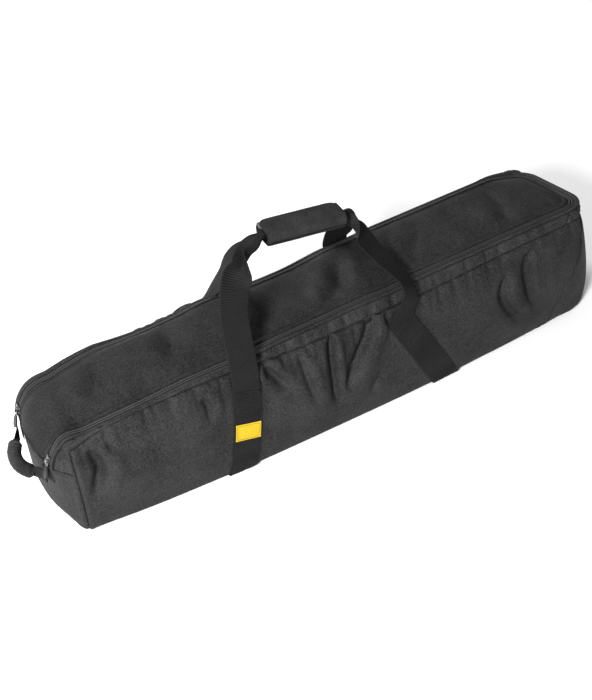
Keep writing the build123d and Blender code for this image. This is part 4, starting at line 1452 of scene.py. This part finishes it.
def make_handle(name, wall_side, left, right, lay_side, lay_up, columns=21):
    """One webbing from the left strap, through the wrap, to the right strap."""
    left = [*strap_end("left_body_strap", wall_side), *left]
    right = [*strap_end("right_body_strap", wall_side), *right]
    half = GRIP_LENGTH / 2
    wrapped = [
        (tuple(grip_point(x, lay_side, lay_up)), tuple(GRIP_UP), 1.0, turn)
        for x, turn in ((-half, 90), (-half / 2, 90), (half / 2, 90), (half, 90))
    ]
    turns = [(*p, *n, fold, roll) for p, n, fold, roll in (*left, *wrapped, *right[::-1])]
    rows = through(turns, 1200)
    length = run_length(rows[:, :3])[-1]
    rows = through(turns, round(length / 0.85))
    centre = rows[:, :3]
    tangent = tangents(centre)
    side = unit(np.cross(tangent, rows[:, 3:6]))
    up = np.cross(side, tangent)
    even = np.linspace(-WEBBING_WIDTH / 2, WEBBING_WIDTH / 2, columns)
    middle = np.zeros((len(rows), columns, 3))
    for row, (folded, roll) in enumerate(rows[:, 6:8]):
        x, n = fold_section(even, min(max(folded, 0.0), 1.0), roll)
        middle[row] = centre[row] + side[row] * x[:, None] + up[row] * n[:, None]
    along = run_length(centre)
    fold = np.clip(rows[:, 6], 0, 1)
    bunch = (fold * (1 - fold) * 4)[:, None]
    waver = lumps(middle, 24, 31)[..., None] * bunch[..., None] * 0.9
    middle = middle + sheet_normals(middle) * waver
    edge = WEBBING_HALF * (1 - 0.5 * (np.abs(even) / (WEBBING_WIDTH / 2)) ** 14)
    thick = ribs(along, edge)
    thick = np.where(np.abs(even)[None] > WEBBING_WIDTH / 2 - 3.5, thick * 1.12, thick)
    foot = centre[0] * MM
    swing = ("bag", name, (0, foot[1], foot[2]), (0, foot[1], foot[2] + 0.022))
    slab(f"{name}_webbing", middle, thick, thick, "webbing", swing, (name,))


make_handle("front_handle", FRONT, FRONT_LEFT_LEG, FRONT_RIGHT_LEG, -1.5, 2.7)
make_handle("rear_handle", REAR, REAR_LEFT_LEG, REAR_RIGHT_LEG, 1.5, -2.7)


# -------------------------------------------------------------------- grip wrap

FLAP_CORNER = 16.0
# Thickness of a padded sheet at its rim, and what its filling adds in the middle
RIM, FLAP_CROWN, PAD_CROWN = 0.6, 2.0, 2.2


def rolled_sheet(profile, length, corner, rows, columns):
    """Grid along the grip whose cross-section is a line through (side, up) stops.

    Its far corners are rounded by corner mm.
    """
    line = through(profile, rows, dims=2)
    run = run_length(line)
    past = np.clip(run - (run[-1] - corner), 0, corner)
    reach = length / 2 - (corner - np.sqrt(corner**2 - past**2 + 1e-6))
    across = np.sin(np.linspace(-pi / 2, pi / 2, columns)) * 0.5 + np.linspace(-1, 1, columns) * 0.5
    along = reach[:, None] * across[None]
    return grip_point(along, line[:, :1] + 0 * along, line[:, 1:2] + 0 * along), run, across


def pillow(run, across, edge, crown, sharp=5):
    """Thickness that rises from edge at the rim to edge + crown in the middle."""
    v = np.abs(2 * run / run[-1] - 1)[:, None]
    u = np.abs(across)[None]
    return edge + crown * (1 - v**sharp) * (1 - u ** (3 * sharp))


def make_flap():
    """Padded flap that wraps over the webbing, with its stitching and bound edge."""
    profile = (
        (-19.0, -4.6),
        (-19.6, 0.2),
        (-18.8, 5.6),
        (-14.5, 9.9),
        (-6.0, 11.0),
        (6.0, 11.0),
        (15.0, 10.8),
        (20.4, 9.6),
    )
    sheet, run, across = rolled_sheet(profile, GRIP_LENGTH, FLAP_CORNER, 44, 72)
    thick = pillow(run, across, RIM, FLAP_CROWN)
    dents = uneven(sheet, ((0.55, 30, 41), (0.22, 13, 43))) * (thick - RIM) / FLAP_CROWN
    inner = 0.5 + 0 * thick
    soft = thick + dents
    flap = slab("grip_flap_cloth", sheet, soft, inner, "wrap_fabric", "grip_flap", ("grip_flap",), 1)
    inset = 4.0
    rim, _, _ = rolled_sheet(profile, GRIP_LENGTH - 2 * inset, FLAP_CORNER - inset, 44, 72)
    rim = rim[:-4]
    out = sheet_normals(rim)
    border = np.vstack([rim[:, 0], rim[-1, 1:-1], rim[::-1, -1]])
    lift = np.vstack([out[:, 0], out[-1, 1:-1], out[::-1, -1]])
    threads = join_parts("grip_flap_threads", stitches_along(border + lift * 1.25, lift, pitch=3.0))
    place(threads, "thread", "grip_flap")
    make_binding(profile)


def make_binding(profile):
    """Folded tape round the flap's two ends and its far edge."""
    sheet, _, _ = rolled_sheet(profile, GRIP_LENGTH + 0.6, FLAP_CORNER, 60, 60)
    edge = np.vstack([sheet[4:, 0], sheet[-1, 1:-1], sheet[:3:-1, -1]])
    normal = sheet_normals(sheet)
    up = np.vstack([normal[4:, 0], normal[-1, 1:-1], normal[:3:-1, -1]])
    out = unit(np.cross(tangents(edge), up))
    middle = sheet.mean(axis=(0, 1))
    if (out * (edge - middle)).sum() < 0:
        out = -out
    rings = []
    for turn in np.linspace(0, 2 * pi, 10, endpoint=False):
        rings.append(edge - out * 1.4 + out * (2.0 * cos(turn)) + up * (1.5 * sin(turn)) - up * 0.3)
    rings = np.stack(rings, axis=1)
    tube("grip_binding_tape", rings, "binding_tape", "grip_flap", ("grip_flap_binding",))


def tube(name, rings, slot, bodies, replaced=(), levels=1):
    """A closed tube from its rings of points, with flat ends."""
    rows, sides = rings.shape[:2]
    faces, uv_corners = grid(rows, sides, wrap_columns=True)
    girth = np.linalg.norm(np.diff(rings, axis=1), axis=2).sum(axis=1).mean()
    along = run_length(rings.mean(axis=1))
    uv = np.stack(np.meshgrid(along, np.linspace(0, girth, sides + 1), indexing="ij"), axis=-1)
    start = np.array([(i, i + 1, sides - 2 - i, sides - 1 - i) for i in range(sides // 2 - 1)])
    end = start[:, ::-1] + (rows - 1) * sides
    corners = np.vstack([uv_corners, 0 * start, 0 * end])
    every = np.vstack([faces, start, end])
    if signed_volume(rings.reshape(-1, 3), every) < 0:
        every, corners = every[:, ::-1], corners[:, ::-1]
    piece = make_object(name, rings, every, uv, corners)
    if levels:
        smoother(piece, levels)
    return place(piece, slot, bodies, replaced)


def signed_volume(points, faces):
    a, b, c, d = (points[faces[:, k]] for k in range(4))
    return (np.cross(a, b) * c).sum() + (np.cross(a, c) * d).sum()


def make_pad():
    """Pad under and behind the webbing, with a tongue over it for the flap to close on."""
    profile = (
        (-19.6, -6.4),
        (-16.5, -8.9),
        (-6.0, -9.8),
        (8.0, -10.2),
        (17.0, -9.2),
        (20.2, -4.0),
        (20.4, 1.5),
        (17.5, 5.6),
        (8.0, 6.3),
        (1.5, 6.3),
    )
    sheet, run, across = rolled_sheet(profile, GRIP_LENGTH - 1, 3.0, 56, 64)
    thick = pillow(run, across, RIM, PAD_CROWN, 6)
    dents = uneven(sheet, ((0.5, 28, 51), (0.2, 12, 53))) * (thick - RIM) / PAD_CROWN
    inner = np.minimum(0.8 + 0 * thick, thick)
    soft = thick + dents
    pad = slab("grip_pad_cloth", sheet, inner, soft, "wrap_fabric", "rear_handle", ("grip_pad",), 1)


def make_patches():
    """Hook and loop strips between the pad's tongue and the flap."""
    along = np.linspace(-65, 65, 40)[None, :]
    side = np.linspace(3.5, 16.5, 7)[:, None]
    for name, up, body, node in (
        ("loop_patch", 7.7, "rear_handle", "grip_loop_patch"),
        ("hook_patch", 9.6, "grip_flap", "grip_hook_patch"),
    ):
        level = grip_point(along, side, up + 0 * along * side)
        slab(name, level, 0.4, 0.4, "hook_loop", body, (node,))


make_flap()
make_pad()
make_patches()


# ------------------------------------------------------------------- end handle

END_WEBBING_HALF = 12.5
# How far the anchors stand out from the end panel's corner seams, at the bag's middle
ANCHOR_BULGE = 30.5
SLEEVE_BEND = ("bag", "end_handle", (-0.4655, 0, 0.1), (-0.4775, 0, 0.1))


def sleeve_line(count):
    """Middle line of the end handle's padding, from front to rear."""
    stops = (
        (-474.0, -35.5, 98.5),
        (-479.5, -28.0, 97.6),
        (-486.0, -15.0, 96.6),
        (-488.3, 0.0, 96.2),
        (-486.0, 15.0, 96.6),
        (-479.5, 28.0, 97.6),
        (-474.0, 35.5, 98.5),
    )
    return through(stops, count)


def make_sleeve():
    """Padded tube of the end handle, gathered on the inside of its bend."""
    line = sleeve_line(90)
    run = run_length(line)
    to_end = np.minimum(run, run[-1] - run)
    tangent = tangents(line)
    side = unit(np.cross(tangent, (0, 0, 1)))
    top = np.cross(side, tangent)
    size = 4.6 + 5.4 * ease(to_end, 0, 9)
    angle = np.linspace(0, 2 * pi, 28, endpoint=False)
    inner = 0.5 + 0.5 * np.cos(angle - (pi if side[len(line) // 2][0] < 0 else 0))
    gather = 0.75 * (np.cos(2 * pi * run / 6.3 + 0.8 * np.sin(run / 9.0)) - 0.4)
    gather = gather[:, None] * (0.25 + 0.75 * inner[None])
    radius = size[:, None] + gather * ease(to_end, 3, 12)[:, None]
    rings = (
        line[:, None]
        + side[:, None] * (np.cos(angle)[None] * radius)[..., None]
        + top[:, None] * (np.sin(angle)[None] * radius * 1.06)[..., None]
    )
    rings += 0.25 * lumps(rings, 11, 61)[..., None] * (rings - line[:, None]) / 10
    sleeve = tube("end_handle_padding", rings, "wrap_fabric", "end_handle", ("end_handle_sleeve",))
    seam_at = -top * (size * 1.06 + 0.2)[:, None]
    keep = to_end > 7
    threads = stitches_along((line + seam_at)[keep], -top[keep], pitch=3.4)
    place(join_parts("end_handle_threads", threads), "thread", "end_handle")


def make_end_webbing():
    """Webbing from each stitched anchor into the sleeve."""
    for name, side in (("front", FRONT), ("rear", REAR)):
        stops = (
            (-465.0, side * 54.0, 101.5, 1.0, 0.0),
            (-466.6, side * 48.0, 101.2, 1.0, 0.0),
            (-468.4, side * 42.5, 100.4, 1.0, 0.2),
            (-472.6, side * 37.0, 99.3, 0.9, 0.5),
            (-478.2, side * 30.2, 98.0, 0.62, 0.8),
        )
        rows = through(stops, 40)
        line = rows[:, :3]
        across = np.linspace(-END_WEBBING_HALF, END_WEBBING_HALF, 11)
        out = unit(np.cross(np.gradient(line, axis=0), (0, 0, 1)))
        out *= -np.sign(out[0, 0])
        width = rows[:, 3][:, None] * across[None]
        bow = rows[:, 4][:, None] * 2.6 * (1 - (across / END_WEBBING_HALF) ** 2)[None]
        middle = line[:, None] + np.array([0, 0, 1.0]) * width[..., None] + out[:, None] * bow[..., None]
        replaced = ("end_handle_webbing",) if side == FRONT else ()
        half = WEBBING_HALF * (1 - 0.5 * (np.abs(across) / END_WEBBING_HALF) ** 10)
        thick = ribs(run_length(line), half, 0.18)
        slab(f"end_webbing_{name}", middle, thick, thick, "webbing", SLEEVE_BEND, replaced)


def make_anchors():
    """Folded webbing sewn flat on the end panel under each end of the handle."""
    threads = []
    for name, side in (("front", FRONT), ("rear", REAR)):
        y = side * np.linspace(38.5, 60.0, 13)[:, None]
        z = 101.0 + np.linspace(-13.0, 13.0, 11)[None]
        x = LEFT_X - ANCHOR_BULGE * (1 - (np.abs(y) / HALF_WIDTHS[0][1]) ** 2.5) - 1.2 + 0 * z
        middle = np.stack(np.broadcast_arrays(x, y, z), axis=-1)
        replaced = ("end_handle_anchors",) if side == FRONT else ()
        slab(f"end_anchor_{name}", middle, 0.8, 0.8, "webbing", "bag", replaced, 1)
        inset = middle[2:-2, 1:-1] + np.array([-1.0, 0, 0])
        if sheet_normals(inset)[..., 0].mean() > 0:
            inset = inset[:, ::-1]
        threads += outline_threads(inset, cross=True, pitch=3.0)
    place(join_parts("end_anchor_threads", threads), "thread", "bag")


make_sleeve()
make_end_webbing()
make_anchors()


# ------------------------------------------------------------------ CAD nodes


def finish_cad_nodes():
    """Materials and small bevels for the CAD parts that are shown as they are."""
    slots = {part["node"]: part["material_slot"] for part in frame["record"]["subparts"]}
    for name, node in frame["nodes"].items():
        if node.hide_render:
            continue
        node.data.materials.clear()
        node.data.materials.append(MATERIALS[slots[name]])
        if slots[name] in ("slider_metal", "pull_tab_plastic"):
            bevel = node.modifiers.new("soft_edges", "BEVEL")
            bevel.width = 0.35 * MM
            bevel.segments = 3
            bevel.limit_method = "ANGLE"


finish_cad_nodes()


# ------------------------------------------------------------ studio, camera


def make_studio():
    """Pale floor, an even sky, a key from the front left, a weak fill and a back light."""
    mesh = bpy.data.meshes.new("floor")
    reach = 6.0
    corners = [(reach * x, reach * y, 0) for x, y in ((-1, -1), (1, -1), (1, 1), (-1, 1))]
    mesh.from_pydata(corners, [], [(0, 1, 2, 3)])
    floor = bpy.data.objects.new("floor", mesh)
    bpy.context.scene.collection.objects.link(floor)
    paint = bpy.data.materials.new("floor_paint")
    paint.use_nodes = True
    shader = paint.node_tree.nodes["Principled BSDF"]
    shader.inputs["Base Color"].default_value = (0.9, 0.9, 0.9, 1)
    shader.inputs["Roughness"].default_value = 0.9
    shader.inputs["Specular IOR Level"].default_value = 0.1
    mesh.materials.append(paint)

    world = bpy.data.worlds.new("sky")
    bpy.context.scene.world = world
    world.use_nodes = True
    sky = world.node_tree.nodes["Background"]
    sky.inputs["Color"].default_value = (1, 1, 1, 1)
    sky.inputs["Strength"].default_value = 0.42
    bpy.context.scene.view_settings.view_transform = "Standard"

    for name, place, size, power in (
        ("key", (-1.9, -1.5, 1.7), 0.6, 150),
        ("fill", (1.9, -1.2, 2.2), 1.5, 4),
        ("back", (-0.9, 2.3, 2.2), 1.2, 85),
    ):
        light = bpy.data.lights.new(name, "AREA")
        light.size = size
        light.energy = power
        lamp = bpy.data.objects.new(name, light)
        lamp.location = place
        aim = Vector((0, 0, 0.1)) - Vector(place)
        lamp.rotation_euler = aim.to_track_quat("-Z", "Y").to_euler()
        bpy.context.scene.collection.objects.link(lamp)


CAMERA_AIM = Vector((0.007, 0, 0))
CAMERA_TURN, CAMERA_TILT, CAMERA_AWAY = radians(-31.26), radians(45.12), 1.90665
CAMERA_LENS, CAMERA_ROLL = 60.79, radians(-0.73)
# How far the camera looks right of and below its aim
LOOK_RIGHT, LOOK_DOWN = radians(1.00922), radians(1.25353)


def make_camera():
    """Looks down at the bag from its left front, with the bag a little right and low."""
    lens = bpy.data.cameras.new("camera")
    lens.lens = CAMERA_LENS
    lens.sensor_width = 36.0
    lens.sensor_fit = "AUTO"
    camera = bpy.data.objects.new("camera", lens)
    back = Vector(
        (
            sin(CAMERA_TURN) * cos(CAMERA_TILT),
            -cos(CAMERA_TURN) * cos(CAMERA_TILT),
            sin(CAMERA_TILT),
        )
    )
    turn = back.to_track_quat("Z", "Y").to_matrix()
    nudge = Matrix.Rotation(LOOK_RIGHT, 3, "Y") @ Matrix.Rotation(LOOK_DOWN, 3, "X")
    view = turn @ Matrix.Rotation(CAMERA_ROLL, 3, "Z") @ nudge
    camera.matrix_world = Matrix.LocRotScale(CAMERA_AIM + back * CAMERA_AWAY, view.to_quaternion(), None)
    bpy.context.scene.collection.objects.link(camera)
    bpy.context.scene.camera = camera


make_studio()
make_camera()
